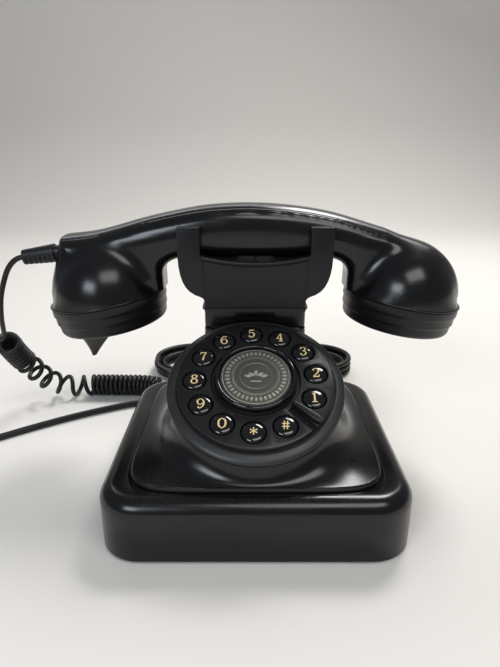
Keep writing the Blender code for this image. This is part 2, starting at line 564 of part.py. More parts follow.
def build_handset():
    upright = (math.radians(90), 0, 0)
    shell = prism("handset_shell", arch_outline(), 2 * HANDLE_HALF_DEPTH, (BLACK, 0.16))
    place(shell, (0, HANDSET_Y, 0), upright)
    bevel(shell, 0.0016, 2)
    for side, end in ((-1, "mouth"), (1, "ear")):
        ball = cup(end + "_cup", side, dome(CUP_RADIUS, DOME_HEIGHT, 0.004))
        ball.scale.x = CUP_SQUEEZE
        combine(shell, ball, "UNION", "MANIFOLD")
        below_rim = [(0, CUP_RIM), (0.060, CUP_RIM), (0.060, -0.030), (0, -0.030)]
        combine(shell, cup(end + "_rim_cut", side, below_rim), "DIFFERENCE", "MANIFOLD")
        inside = dome(CUP_RADIUS - CUP_WALL, DOME_HEIGHT - CUP_WALL, 0.010, 4)
        hollow = cup(end + "_hollow", side, inside, sides=24)
        hollow.scale.x = CUP_SQUEEZE
        combine(shell, hollow, "DIFFERENCE", "MANIFOLD")
    trough = box("handle_trough", (-0.050, HANDSET_Y - 0.0105, 0.1330), (0.050, HANDSET_Y + 0.0105, 0.165))
    combine(shell, trough, "DIFFERENCE", "MANIFOLD")
    relief_seat = rod("relief_seat", 0.0043, -0.0045, 0.012, sides=20)
    combine(shell, place(relief_seat, RELIEF_ROOT, RELIEF_TURN), "DIFFERENCE", "MANIFOLD")

    upper = [(point.x, point.y) for point in handset_top()]
    upper[-1] = (COVER_END - GAP, upper[-1][1])
    lower = [(x, z - COVER_DEPTH + GAP) for x, z in upper]
    cover = prism("handset_cover", upper + lower[::-1], 2 * HANDLE_HALF_DEPTH, (BLACK, 0.16))
    place(cover, (0, HANDSET_Y, 0), upright)
    bevel(cover, 0.0009, 2)

    for index, x in enumerate((-0.0385, 0.0385)):
        bore = rod(f"handset_bore_{index}", 0.0016, 0.12, 0.142, sides=16)
        combine(shell, place(bore, (x, HANDSET_Y, 0)), "DIFFERENCE", "MANIFOLD")
        sink = rod(f"handset_sink_{index}", 0.0031, 0.12, 0.1300, sides=20)
        combine(shell, place(sink, (x, HANDSET_Y, 0)), "DIFFERENCE", "MANIFOLD")
        profile = [(0, 0.1322), (0.0013, 0.1322), (0.0013, 0.1297), (0.0027, 0.1297), (0.0027, 0.1282),
                   (0, 0.1282)]
        screw = turned(f"handset_screw_{index + 1}", profile, ((0.1, 0.1, 0.1), 0.35, 1.0), 16)
        place(screw, (x, HANDSET_Y, 0))
    box("handset_weight", (-0.034, HANDSET_Y - 0.0095, 0.1334), (0.034, HANDSET_Y + 0.0095, 0.1395),
        ((0.4, 0.4, 0.4), 0.4, 1.0), 0.0005)

    inside = CUP_RADIUS - CUP_WALL - 0.002
    wall = [(0, -0.0142), (0.0265, -0.0152), (0.0290, -0.0132), (inside, -0.0100), (inside, CUP_RIM - GAP)]
    outside = [(CUP_RADIUS - 0.0002, CUP_RIM - GAP), (CUP_RADIUS - 0.0003, -0.0046), (0.0338, -0.0054),
               (0.0336, -0.0098), (0.0328, -0.0106), (0.0324, -0.0146), (0.0310, -0.0164),
               (0.0284, -0.0172), (0, -0.0164)]
    for side, end in ((1, "earpiece_cap"), (-1, "mouthpiece_cap")):
        made = cup(end, side, wall + outside, (BLACK, 0.25))
        if side < 0:
            combine(made, horn(), "UNION")
    face = [(0, 0.006), (0.012, 0.006), (0.0240, 0.001), (0.0240, -0.009), (0, -0.010)]
    cup("receiver_capsule", 1, face, ((0.35, 0.35, 0.35), 0.4, 0.8), 32)
    pill = [(0, -0.004), (0.010, -0.004), (0.010, -0.012), (0, -0.012)]
    cup("microphone_capsule", -1, pill, ((0.35, 0.35, 0.35), 0.4, 0.8), 24)

    ribs = [(0, 0.0246), (0.0026, 0.0246), (0.0038, 0.0240)]
    rib_count = 5
    for rib in range(rib_count):
        high = 0.0232 - rib * 0.0031
        radius = 0.0040 + 0.0012 * rib / (rib_count - 1)
        ribs += [(radius, high), (radius, high - 0.0018), (radius - 0.0008, high - 0.0020),
                 (radius - 0.0008, high - 0.0030)]
    ribs += [(0.0054, 0.0072), (0.0056, 0.0054), (0.0040, 0.0054), (0.0040, -0.0040), (0, -0.0040)]
    relief = turned("handset_relief", ribs, ((0.02, 0.02, 0.02), 0.6), 16)
    place(relief, RELIEF_ROOT, RELIEF_TURN)


def horn():
    """The speaking horn: a flared spout that leans to the outer side of the mouthpiece."""
    rings = []
    levels = 6
    for level in range(levels + 1):
        t = level / levels
        radius = 0.0142 * (1 - t) ** 1.2 + 0.0014
        middle = Vector((-0.0100 - 0.0088 * t, 0, -0.0155 - 0.0208 * t))
        rings.append([middle + radius * Vector((math.cos(math.tau * k / 28), math.sin(math.tau * k / 28), 0))
                      for k in range(28)])
    return place(loft("speaking_horn", rings), (-CUP_X, HANDSET_Y, CUP_Z), (0, -CUP_TILT, 0))


# ---------------------------------------------------------------- cords

def plug(name, wire_end, heading, size):
    """A clear modular plug. Its cable end meets the wire, and its heading is its turn about Z."""
    width, length, height = size
    shape = bmesh.new()
    bmesh.ops.create_cube(shape, size=1.0)
    bmesh.ops.scale(shape, vec=(width, length, height), verts=shape.verts)
    bmesh.ops.translate(shape, vec=(0, -length / 2, 0), verts=shape.verts)
    made = new_object(name, mesh_from(shape, name), ((0.6, 0.62, 0.6), 0.2))
    bevel(made, 0.0004)
    return place(made, wire_end, (0, 0, heading))


def hank_quarter():
    """A quarter of the tied hank from above, from its waist at the tie to its round end."""
    shoulder = 0.6 * HANK_HALF_LENGTH
    outline = []
    for step in range(7):
        swell = (1 - math.cos(math.pi * step / 7)) / 2
        outline.append((shoulder * step / 7, HANK_WAIST + (HANK_HALF_WIDTH - HANK_WAIST) * swell))
    for degrees in range(0, 91, 15):
        angle = math.radians(degrees)
        end = (HANK_HALF_LENGTH - shoulder) * math.sin(angle)
        outline.append((shoulder + end, HANK_HALF_WIDTH * math.cos(angle)))
    return outline


def build_cords():
    rubber = ((0.015, 0.015, 0.016), 0.45)
    tube("handset_cord_lead", LEAD_ROUTE, HANDSET_WIRE, rubber, 0.008)
    tube("handset_cord_coil", CURL_ROUTE, CURL_DIAMETER, rubber, 0.011)
    tube("handset_cord_tail", TAIL_ROUTE, HANDSET_WIRE, rubber, 0.008)
    plug("handset_cord_plug", (HANDSET_JACK_X, BASE_REAR + 0.0120, 0.0117), 0.0, (0.0072, 0.0232, 0.0062))
    plug("line_cord_jack_plug", (LINE_JACK_X, BASE_REAR + 0.0120, 0.0117), 0.0, (0.0072, 0.0232, 0.0062))
    tube("line_cord_start", START_ROUTE, LINE_WIRE, rubber, 0.010)
    tube("line_cord", LINE_ROUTE, LINE_WIRE, rubber, 0.010)
    plug("line_cord_plug", (-0.19025, 0.02275, 0.0036), math.radians(-48), (0.0090, 0.0200, 0.0066))
    quarter = hank_quarter()
    right = quarter + [(x, -y) for x, y in reversed(quarter[:-1])]
    outline = right + [(-x, y) for x, y in reversed(right[1:-1])]
    place(prism("line_cord_hank", outline, HANK_HEIGHT - GAP, rubber), (0, HANK_Y, HANK_HEIGHT / 2))
    tie = box("line_cord_tie", (-0.003, HANK_Y - HANK_WAIST - 0.0018, GAP),
              (0.003, HANK_Y + HANK_WAIST + 0.0018, HANK_HEIGHT + 0.0016), rubber)
    window = box("tie_window", (-0.006, HANK_Y - HANK_WAIST - 0.0008, -0.002),
                 (0.006, HANK_Y + HANK_WAIST + 0.0008, HANK_HEIGHT + 0.0004))
    combine(tie, window, "DIFFERENCE")


build_housing()
build_underside()
build_insides()
build_dial()
build_cradle()
build_handset()
build_cords()
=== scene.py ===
"""Corded desk telephone with twelve keys round a dial plate: how it looks.

Metres, +Z up. The front faces -Y, and the origin is under the middle of the set, on the table.
"""

import math

import bmesh
import bpy
import numpy as np
from mathutils import Matrix, Vector


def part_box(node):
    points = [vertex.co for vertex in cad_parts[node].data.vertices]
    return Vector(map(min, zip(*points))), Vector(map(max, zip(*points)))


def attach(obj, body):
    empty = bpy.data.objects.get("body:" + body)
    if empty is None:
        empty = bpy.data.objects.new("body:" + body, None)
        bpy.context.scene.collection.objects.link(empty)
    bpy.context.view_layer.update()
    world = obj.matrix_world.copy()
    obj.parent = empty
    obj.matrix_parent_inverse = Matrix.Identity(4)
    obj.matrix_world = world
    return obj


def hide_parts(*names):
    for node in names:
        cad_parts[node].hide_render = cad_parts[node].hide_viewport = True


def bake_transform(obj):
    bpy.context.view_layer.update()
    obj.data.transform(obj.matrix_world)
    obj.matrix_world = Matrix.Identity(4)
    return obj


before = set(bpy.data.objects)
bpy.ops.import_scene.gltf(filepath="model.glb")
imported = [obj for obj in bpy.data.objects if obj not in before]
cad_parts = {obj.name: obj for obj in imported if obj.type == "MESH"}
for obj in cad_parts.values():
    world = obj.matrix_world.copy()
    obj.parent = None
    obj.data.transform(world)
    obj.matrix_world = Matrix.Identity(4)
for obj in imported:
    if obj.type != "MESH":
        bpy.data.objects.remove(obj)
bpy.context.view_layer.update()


# ---------------------------------------------------------------- table, light and camera
# The set stands on a plain pale table that sweeps up behind it. Soft boxes hang over the front
# and the back, another stands at the front left as a window would, and a strip rims the top.

TABLE_COLOUR = (0.78, 0.75, 0.71)
TABLE_FRONT = -1.6
SWEEP_START = 0.9
SWEEP_RADIUS = 0.6
SWEEP_TOP = 2.4
TABLE_HALF_WIDTH = 2.4
CAMERA_PLACE = (-0.0029, -0.2639, 0.1876)
CAMERA_TILT = math.radians(69.9)
FOCAL_LENGTH = 28.07


def object_from(shape, name):
    """A bmesh as an object of the scene."""
    mesh = bpy.data.meshes.new(name)
    shape.to_mesh(mesh)
    shape.free()
    made = bpy.data.objects.new(name, mesh)
    bpy.context.scene.collection.objects.link(made)
    return made


def skin(shape, rings, closed=True):
    """Joins rings of equal counts, each to the next, and returns them as vertices."""
    levels = [[shape.verts.new(point) for point in ring] for ring in rings]
    for lower, upper in zip(levels, levels[1:]):
        for index in range(len(lower) if closed else len(lower) - 1):
            after = (index + 1) % len(lower)
            shape.faces.new((lower[index], lower[after], upper[after], upper[index]))
    return levels


def lay_table():
    """One open sheet, flat under the set and curving up into the backdrop."""
    profile = [(TABLE_FRONT, 0), (SWEEP_START, 0)]
    for degrees in range(10, 91, 10):
        angle = math.radians(degrees)
        profile.append((SWEEP_START + SWEEP_RADIUS * math.sin(angle),
                        SWEEP_RADIUS - SWEEP_RADIUS * math.cos(angle)))
    profile.append((SWEEP_START + SWEEP_RADIUS, SWEEP_TOP))
    shape = bmesh.new()
    edges = [[Vector((x, y, z)) for y, z in profile] for x in (-TABLE_HALF_WIDTH, TABLE_HALF_WIDTH)]
    skin(shape, edges, closed=False)
    table = object_from(shape, "table_sweep")
    table.data.shade_smooth()
    paint = bpy.data.materials.new("pale_table")
    paint.use_nodes = True
    nodes, links = paint.node_tree.nodes, paint.node_tree.links
    shader = nodes["Principled BSDF"]
    shader.inputs["Base Color"].default_value = (*TABLE_COLOUR, 1)
    shader.inputs["Specular IOR Level"].default_value = 0.2
    place = nodes.new("ShaderNodeTexCoord")
    mottle = nodes.new("ShaderNodeTexNoise")
    mottle.inputs["Scale"].default_value = 30
    spread = nodes.new("ShaderNodeMapRange")
    spread.inputs["To Min"].default_value = 0.75
    spread.inputs["To Max"].default_value = 0.9
    links.new(place.outputs["Object"], mottle.inputs["Vector"])
    links.new(mottle.outputs["Fac"], spread.inputs["Value"])
    links.new(spread.outputs["Result"], shader.inputs["Roughness"])
    table.data.materials.append(paint)


def hang_lamp(name, place, target, width, height, watts, colour):
    """A soft box turned to face its target."""
    light = bpy.data.lights.new(name, "AREA")
    light.shape = "RECTANGLE"
    light.size = width
    light.size_y = height
    light.energy = watts
    light.color = colour
    lamp = bpy.data.objects.new(name, light)
    lamp.location = place
    lamp.rotation_euler = (Vector(target) - Vector(place)).to_track_quat("-Z", "Y").to_euler()
    bpy.context.scene.collection.objects.link(lamp)


def set_studio():
    lay_table()
    hang_lamp("front_box", (0.35, -0.75, 1.25), (0, 0.02, 0.05), 0.9, 0.5, 7.0, (1.0, 0.98, 0.95))
    hang_lamp("window", (-0.62, -1.05, 0.78), (0, 0.02, 0.08), 0.55, 0.42, 7.0, (0.80, 0.90, 1.0))
    hang_lamp("ceiling_box", (0.36, 0.62, 1.10), (0, 0.03, 0.08), 0.42, 0.34, 9.0, (1.0, 0.99, 0.97))
    hang_lamp("back_strip", (0.0, 0.75, 0.85), (0, 0.05, 0.10), 1.5, 0.25, 4.0, (0.95, 0.97, 1.0))
    world = bpy.data.worlds.new("studio")
    world.use_nodes = True
    world.node_tree.nodes["Background"].inputs["Color"].default_value = (0.80, 0.82, 0.86, 1)
    world.node_tree.nodes["Background"].inputs["Strength"].default_value = 0.22
    bpy.context.scene.world = world
    data = bpy.data.cameras.new("camera")
    data.lens = FOCAL_LENGTH
    data.sensor_width = 36.0
    data.clip_start = 0.01
    camera = bpy.data.objects.new("camera", data)
    camera.location = CAMERA_PLACE
    camera.rotation_euler = (CAMERA_TILT, 0, 0)
    bpy.context.scene.collection.objects.link(camera)
    bpy.context.scene.camera = camera
    bpy.context.scene.view_settings.view_transform = "Standard"


set_studio()


# ---------------------------------------------------------------- base housing
# One black moulding: a plinth with a rounded shoulder, the bell that rises from its raised
# panel to the dial, and the post under the cradle. It is open below and hollow.

BASE_FRONT = -0.0704
BASE_REAR = 0.0676
BASE_HALF_WIDTH = 0.0765
BASE_CORNER = 0.021
BASE_BOTTOM = 0.0012
SHOULDER_RADIUS = 0.008
PLINTH_TOP = 0.034
PANEL_HALF_WIDTH = 0.0630
PANEL_FRONT = BASE_FRONT + 0.0090
PANEL_REAR = BASE_FRONT + 0.129
PANEL_TOP = 0.037
NECK_HALF_WIDTH = 0.0295
NECK_FRONT = BASE_FRONT + 0.092
NECK_REAR = BASE_FRONT + 0.122
NECK_TOP = 0.0988
WALL = 0.0025
PANEL_SQUARENESS = 7
NECK_SQUARENESS = 9
DIAL_CENTRE = Vector((0.0, BASE_FRONT + 0.0478, 0.0751))
DIAL_LEAN = Matrix.Rotation(math.radians(27.0), 4, "X")
BEZEL_RADIUS = 0.0461
BEZEL_SEAT = -0.0088
WELL_RADIUS = 0.0382
JACKS = (-0.045, -0.020)
HANDSET_Y = BASE_FRONT + 0.106
GLOSS_BLACK = (0.0045, 0.0046, 0.0052)


def group_socket(tree, name, kind, value=None, outward=False):
    socket = tree.interface.new_socket(name=name, in_out="OUTPUT" if outward else "INPUT", socket_type=kind)
    if value is not None:
        socket.default_value = value


def math_node(nodes, links, operation, first, second):
    node = nodes.new("ShaderNodeMath")
    node.operation = operation
    for socket, value in zip(node.inputs, (first, second)):
        if isinstance(value, (int, float)):
            socket.default_value = value
        else:
            links.new(value, socket)
    return node.outputs[0]


def stretch(nodes, links, value, low, high, to_low, to_high):
    node = nodes.new("ShaderNodeMapRange")
    for name, number in (("From Min", low), ("From Max", high), ("To Min", to_low), ("To Max", to_high)):
        if isinstance(number, (int, float)):
            node.inputs[name].default_value = number
        else:
            links.new(number, node.inputs[name])
    links.new(value, node.inputs["Value"])
    return node.outputs["Result"]


def tint(nodes, links, mask, base, over):
    node = nodes.new("ShaderNodeMix")
    node.data_type = "RGBA"
    links.new(mask, node.inputs["Factor"])
    for socket, value in zip((node.inputs["A"], node.inputs["B"]), (base, over)):
        if isinstance(value, tuple):
            socket.default_value = (*value, 1)
        else:
            links.new(value, socket)
    return node.outputs["Result"]


def handled_surface():
    """Finger smudges, hair scratches, dust on what faces up, pale worn edges and a fine moulding grain."""
    tree = bpy.data.node_groups.new("handled_surface", "ShaderNodeTree")
    group_socket(tree, "Colour", "NodeSocketColor", (0.01, 0.01, 0.01, 1))
    for name, value in (("Roughness", 0.2), ("Smudge", 0.1), ("Grain Scale", 900.0), ("Wear", 0.3),
                        ("Dust", 0.2)):
        group_socket(tree, name, "NodeSocketFloat", value)
    group_socket(tree, "Colour", "NodeSocketColor", outward=True)
    group_socket(tree, "Roughness", "NodeSocketFloat", outward=True)
    group_socket(tree, "Height", "NodeSocketFloat", outward=True)
    nodes, links = tree.nodes, tree.links
    given = nodes.new("NodeGroupInput").outputs
    out = nodes.new("NodeGroupOutput").inputs
    place = nodes.new("ShaderNodeTexCoord").outputs["Object"]
    surface = nodes.new("ShaderNodeNewGeometry").outputs

    def noise(scale, detail, vector=place):
        node = nodes.new("ShaderNodeTexNoise")
        node.inputs["Detail"].default_value = detail
        if isinstance(scale, (int, float)):
            node.inputs["Scale"].default_value = scale
        else:
            links.new(scale, node.inputs["Scale"])
        links.new(vector, node.inputs["Vector"])
        return node.outputs["Fac"]

    smudges = stretch(nodes, links, noise(34, 4), 0.42, 0.68, 0.0, 1.0)
    streaked = nodes.new("ShaderNodeMapping")
    streaked.inputs["Rotation"].default_value = (0.4, 0.9, 0.5)
    streaked.inputs["Scale"].default_value = (1, 28, 6)
    links.new(place, streaked.inputs["Vector"])
    scratches = stretch(nodes, links, noise(95, 2, streaked.outputs["Vector"]), 0.70, 0.76, 0.0, 1.0)
    rough = math_node(nodes, links, "MULTIPLY", smudges, given["Smudge"])
    rough = math_node(nodes, links, "ADD", given["Roughness"], rough)
    marks = math_node(nodes, links, "MULTIPLY", scratches, 0.10)
    rough = math_node(nodes, links, "ADD", rough, marks)

    upward = nodes.new("ShaderNodeSeparateXYZ")
    links.new(surface["Normal"], upward.inputs["Vector"])
    settled = stretch(nodes, links, upward.outputs["Z"], 0.75, 1.0, 0.0, 1.0)
    specks = stretch(nodes, links, noise(1500, 2), 0.56, 0.72, 0.0, 1.0)
    dust = math_node(nodes, links, "MULTIPLY", settled, specks)
    dust = math_node(nodes, links, "MULTIPLY", dust, given["Dust"])
    edge = stretch(nodes, links, surface["Pointiness"], 0.56, 0.68, 0.0, 1.0)
    worn = math_node(nodes, links, "MULTIPLY", edge, stretch(nodes, links, noise(120, 3), 0.4, 0.6, 0.2, 1.0))
    worn = math_node(nodes, links, "MULTIPLY", worn, given["Wear"])
    colour = tint(nodes, links, worn, given["Colour"], (0.09, 0.09, 0.095))
    colour = tint(nodes, links, dust, colour, (0.24, 0.23, 0.21))
    links.new(colour, out["Colour"])
    dulled = math_node(nodes, links, "MULTIPLY", dust, 0.5)
    links.new(math_node(nodes, links, "ADD", rough, dulled), out["Roughness"])
    links.new(noise(given["Grain Scale"], 3), out["Height"])
    return tree


HANDLED = handled_surface()


def finish(name, colour, roughness, smudge=0.08, grain_scale=900.0, grain=0.02, wear=0.3, dust=0.12,
           metallic=0.0, specular=0.5, coat=0.0):
    """A moulded or metal finish that shows its handling."""
    made = bpy.data.materials.new(name)
    made.use_nodes = True
    nodes, links = made.node_tree.nodes, made.node_tree.links
    shader = nodes["Principled BSDF"]
    shader.inputs["Metallic"].default_value = metallic
    shader.inputs["Specular IOR Level"].default_value = specular
    shader.inputs["Coat Weight"].default_value = coat
    shader.inputs["Coat Roughness"].default_value = 0.06
    surface = nodes.new("ShaderNodeGroup")
    surface.node_tree = HANDLED
    surface.inputs["Colour"].default_value = (*colour, 1)
    for socket, value in (("Roughness", roughness), ("Smudge", smudge), ("Grain Scale", grain_scale),
                          ("Wear", wear), ("Dust", dust)):
        surface.inputs[socket].default_value = value
    bump = nodes.new("ShaderNodeBump")
    bump.inputs["Strength"].default_value = 1.0
    bump.inputs["Distance"].default_value = grain * 0.001
    links.new(surface.outputs["Colour"], shader.inputs["Base Color"])
    links.new(surface.outputs["Roughness"], shader.inputs["Roughness"])
    links.new(surface.outputs["Height"], bump.inputs["Height"])
    links.new(bump.outputs["Normal"], shader.inputs["Normal"])
    return made


GLOSS = finish("gloss_black_moulding", GLOSS_BLACK, 0.19, smudge=0.08, grain=0.006, wear=0.0, specular=0.42)
SATIN = finish("satin_black_moulding", (0.006, 0.0062, 0.0070), 0.33, smudge=0.06, grain_scale=1600,
               grain=0.012, specular=0.34)


def settle(made, sharp=35):
    """Works the modifiers and the place into the mesh, and leaves the object at the origin."""
    bpy.context.view_layer.update()
    graph = bpy.context.evaluated_depsgraph_get()
    mesh = bpy.data.meshes.new_from_object(made.evaluated_get(graph))
    mesh.transform(made.matrix_world)
    mesh.shade_smooth()
    mesh.set_sharp_from_angle(angle=math.radians(sharp))
    made.modifiers.clear()
    made.data = mesh
    made.parent = None
    made.matrix_world = Matrix.Identity(4)
    return made


def fit(made, material, body, slot, *nodes):
    """Gives a finished piece its material, the body it rides on and the CAD nodes it stands for."""
    made.data.materials.clear()
    made.data.materials.append(material)
    made.data.name = made.name
    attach(made, body)
    if nodes:
        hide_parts(*nodes)
    return made


def closed_loft(name, rings):
    """A solid through rings of equal counts, closed flat at both ends."""
    shape = bmesh.new()
    levels = skin(shape, rings)
    shape.faces.new(levels[0])
    shape.faces.new(levels[-1])
    bmesh.ops.recalc_face_normals(shape, faces=shape.faces)
    return object_from(shape, name)


def turned(name, profile, sides=96, closed=False, matrix=None):
    """A profile of (radius, height) points turned about Z, with its poles closed."""
    shape = bmesh.new()
    around = [(math.cos(math.tau * k / sides), math.sin(math.tau * k / sides)) for k in range(sides)]
    rows = []
    for radius, height in profile:
        if radius == 0:
            rows.append([shape.verts.new((0, 0, height))] * sides)
        else:
            rows.append([shape.verts.new((radius * x, radius * y, height)) for x, y in around])
    pairs = list(zip(rows, rows[1:])) + ([(rows[-1], rows[0])] if closed else [])
    for upper, lower in pairs:
        for k in range(sides):
            after = (k + 1) % sides
            corners = dict.fromkeys((upper[k], upper[after], lower[after], lower[k]))
            if len(corners) > 2:
                shape.faces.new(list(corners))
    bmesh.ops.recalc_face_normals(shape, faces=shape.faces)
    if matrix is not None:
        bmesh.ops.transform(shape, matrix=matrix, verts=shape.verts)
    return object_from(shape, name)


def combine(made, other, operation):
    """Joins, cuts or keeps what is common, then throws the other solid away."""
    step = made.modifiers.new("combine", "BOOLEAN")
    step.operation = operation
    step.solver = "MANIFOLD"
    step.object = other
    settle(made)
    bpy.data.objects.remove(other, do_unlink=True)


def block(name, low, high, matrix=None):
    low, high = Vector(low), Vector(high)
    shape = bmesh.new()
    bmesh.ops.create_cube(shape, size=1.0)
    bmesh.ops.scale(shape, vec=high - low, verts=shape.verts)
    bmesh.ops.translate(shape, vec=(low + high) / 2, verts=shape.verts)
    if matrix is not None:
        bmesh.ops.transform(shape, matrix=matrix, verts=shape.verts)
    return object_from(shape, name)


def rod(name, radius, low, high, matrix=None, sides=32):
    return turned(name, [(0, high), (radius, high), (radius, low), (0, low)], sides, matrix=matrix)


def dial_place(x=0.0, y=0.0):
    """A place on the leaning dial, with Z out of its face."""
    return Matrix.Translation(DIAL_CENTRE) @ DIAL_LEAN @ Matrix.Translation((x, y, 0.0))


def rounded_ring(inset, height, count):
    """A level ring round the plinth, drawn in by the inset, one point for each equal angle."""
    half_width = BASE_HALF_WIDTH - inset
    half_depth = (BASE_REAR - BASE_FRONT) / 2 - inset
    corner = BASE_CORNER - inset
    ring = []
    for index in range(count):
        angle = math.tau * index / count
        across, along = math.cos(angle), math.sin(angle)
        reach = min(half_width / max(abs(across), 1e-9), half_depth / max(abs(along), 1e-9))
        x, y = abs(reach * across), abs(reach * along)
        if x > half_width - corner and y > half_depth - corner:
            a, b = half_width - corner, half_depth - corner
            dot = a * abs(across) + b * abs(along)
            reach = dot + math.sqrt(dot * dot - a * a - b * b + corner * corner)
        ring.append(Vector((reach * across, (BASE_FRONT + BASE_REAR) / 2 + reach * along, height)))
    return ring


def squircle(half_width, front, rear, height, power, count):
    """A level ring between an ellipse and a rectangle: the higher the power, the squarer."""
    half_depth = (rear - front) / 2
    ring = []
    for index in range(count):
        angle = math.tau * index / count
        across, along = math.cos(angle), math.sin(angle)
        reach = (abs(across / half_width) ** power + abs(along / half_depth) ** power) ** (-1 / power)
        ring.append(Vector((reach * across, (front + rear) / 2 + reach * along, height)))
    return ring


def bell_rings(inset, count, levels):
    """The bell from the raised panel to the round seat of the dial."""
    panel = squircle(PANEL_HALF_WIDTH - inset, PANEL_FRONT + inset, PANEL_REAR - inset, PANEL_TOP - inset,
                     PANEL_SQUARENESS, count)
    seat_radius = BEZEL_RADIUS - 0.0016 - inset
    rings = []
    for level in range(levels + 1):
        t = level / levels
        ring = []
        for index, low in enumerate(panel):
            angle = math.tau * index / count
            high = dial_place() @ Vector((seat_radius * math.cos(angle), seat_radius * math.sin(angle),
                                          BEZEL_SEAT - inset))
            elbow = Vector((high.x, high.y, low.z + 0.14 * (high.z - low.z)))
            ring.append((1 - t) ** 2 * low + 2 * t * (1 - t) * elbow + t ** 2 * high)
        rings.append(ring)
    return rings


def plinth_rings(inset, count, bottom, steps):
    """Up the plinth's wall and over its rounded shoulder."""
    top = PLINTH_TOP - inset
    round_edge = SHOULDER_RADIUS - inset * 0.8
    rings = [rounded_ring(inset + 0.0008, bottom, count), rounded_ring(inset, bottom + 0.0008, count)]
    rings.append(rounded_ring(inset, (bottom + top) / 2, count))
    for step in range(steps + 1):
        angle = math.radians(90) * step / steps
        rings.append(rounded_ring(inset + round_edge * (1 - math.cos(angle)),
                                  top - round_edge * (1 - math.sin(angle)), count))
    return rings


def housing_outside(count=224):
    """Plinth, shoulder, groove, raised panel and bell as one skin."""
    rings = plinth_rings(0.0, count, BASE_BOTTOM, 12)

    def panel(grow, height):
        return squircle(PANEL_HALF_WIDTH + grow, PANEL_FRONT - grow, PANEL_REAR + grow, height,
                        PANEL_SQUARENESS, count)

    groove = [(0.0016, 0.0), (0.0011, 0.0003), (0.0008, 0.0010), (0.0003, 0.0011), (0.0, 0.0008)]
    rings += [panel(grow, PLINTH_TOP - depth) for grow, depth in groove]
    rings += [panel(0.0, PANEL_TOP - 0.0010), panel(-0.0003, PANEL_TOP - 0.0003)]
    bell = bell_rings(0.0, count, 30)
    rings += [[low.lerp(high, 0.55) for low, high in zip(bell[0], bell[1])]]
    rings += bell[1:]
    return closed_loft("housing_shell", rings)


def neck_rings(inset, count, levels):
    """The post under the cradle, spreading as it goes down into the bell."""
    rings = []
    for level in range(levels + 1):
        t = level / levels
        spread = (1 - t) ** 3
        rings.append(squircle(NECK_HALF_WIDTH + 0.016 * spread - inset, NECK_FRONT - 0.030 * spread + inset,
                              NECK_REAR + 0.006 * spread - inset,
                              0.030 + t * (NECK_TOP - 0.030 - inset), NECK_SQUARENESS, count))
    return rings


def neck_outside(count=176):
    """The post with a small step near its top and a rolled collar under the cradle."""
    neck = neck_rings(0.0, count, 26)
    ledge = len(neck) - 5
    for index in (ledge, ledge + 1):
        inward = 0.0009 if index == ledge else 0.0
        neck[index] = squircle(NECK_HALF_WIDTH - inward, NECK_FRONT + inward, NECK_REAR - inward,
                               0.0868 + 0.0007 * (index - ledge), NECK_SQUARENESS, count)
    neck = neck[:ledge + 2]
    collar = [(0.0, 0.0968), (0.0004, 0.0970), (0.0010, 0.0973), (0.0012, 0.0977), (0.0011, 0.0983),
              (0.0006, 0.0987), (0.0, NECK_TOP)]
    for outward, height in collar:
        neck.append(squircle(NECK_HALF_WIDTH + outward, NECK_FRONT - outward, NECK_REAR + outward, height,
                             NECK_SQUARENESS, count))
    return closed_loft("neck", neck)


def make_housing():
    """Joins bell and post, hollows them, and cuts the dial's well, the plunger's hole and the windows."""
    housing = housing_outside()
    combine(housing, neck_outside(), "UNION")
    hollow = plinth_rings(WALL, 64, BASE_BOTTOM - 0.002, 4)
    combine(housing, closed_loft("plinth_hollow", hollow), "DIFFERENCE")
    bell = bell_rings(WALL, 64, 8)
    bell.insert(0, [point - Vector((0, 0, 0.008)) for point in bell[0]])
    combine(housing, closed_loft("bell_hollow", bell), "DIFFERENCE")
    combine(housing, closed_loft("neck_hollow", neck_rings(WALL, 48, 8)), "DIFFERENCE")
    combine(housing, rod("dial_well", WELL_RADIUS, -0.024, 0.01, dial_place(), 96), "DIFFERENCE")
    seat = rod("dial_seat", BEZEL_RADIUS + 0.0005, BEZEL_SEAT, 0.02, dial_place(), 96)
    combine(housing, seat, "DIFFERENCE")
    at_plunger = Matrix.Translation((0, HANDSET_Y, 0))
    combine(housing, rod("plunger_hole", 0.0025, 0.09, 0.102, at_plunger), "DIFFERENCE")
    for x in JACKS:
        window = block("window", (x - 0.0043, BASE_REAR - 0.006, 0.0079),
                       (x + 0.0043, BASE_REAR + 0.004, 0.0155))
        combine(housing, window, "DIFFERENCE")
    fit(housing, GLOSS, "base", "gloss_black", "base_housing")


make_housing()


# ---------------------------------------------------------------- underside
# A flat black plate closes the housing, held by four cross-head screws that turn up into it.
# Four rubber feet with a moulded ring are glued to the plate.

RUBBER = finish("foot_rubber", (0.022, 0.022, 0.023), 0.62, grain_scale=700, grain=0.05, wear=0.0, dust=0.3)
PLAIN = finish("plain_black_plate", (0.018, 0.018, 0.019), 0.48, grain_scale=1300, grain=0.03)
ZINC = finish("zinc_plated_steel", (0.46, 0.46, 0.45), 0.30, grain_scale=1800, grain=0.01, wear=0.0,
              metallic=1.0)


def recut(node, material, body, slot, edge=0.0, sharp=35):
    """A CAD node's own shape with its facets joined, its edges eased and its round faces smooth."""
    copy = bmesh.new()
    copy.from_mesh(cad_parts[node].data)
    bmesh.ops.remove_doubles(copy, verts=copy.verts, dist=0.000002)
    bmesh.ops.dissolve_limit(copy, angle_limit=math.radians(1), verts=copy.verts, edges=copy.edges)
    made = object_from(copy, node + "_look")
    if edge:
        eased = made.modifiers.new("eased", "BEVEL")
        eased.width = edge
        eased.segments = 2
        eased.angle_limit = math.radians(sharp)
    return fit(settle(made, sharp), material, body, slot, node)


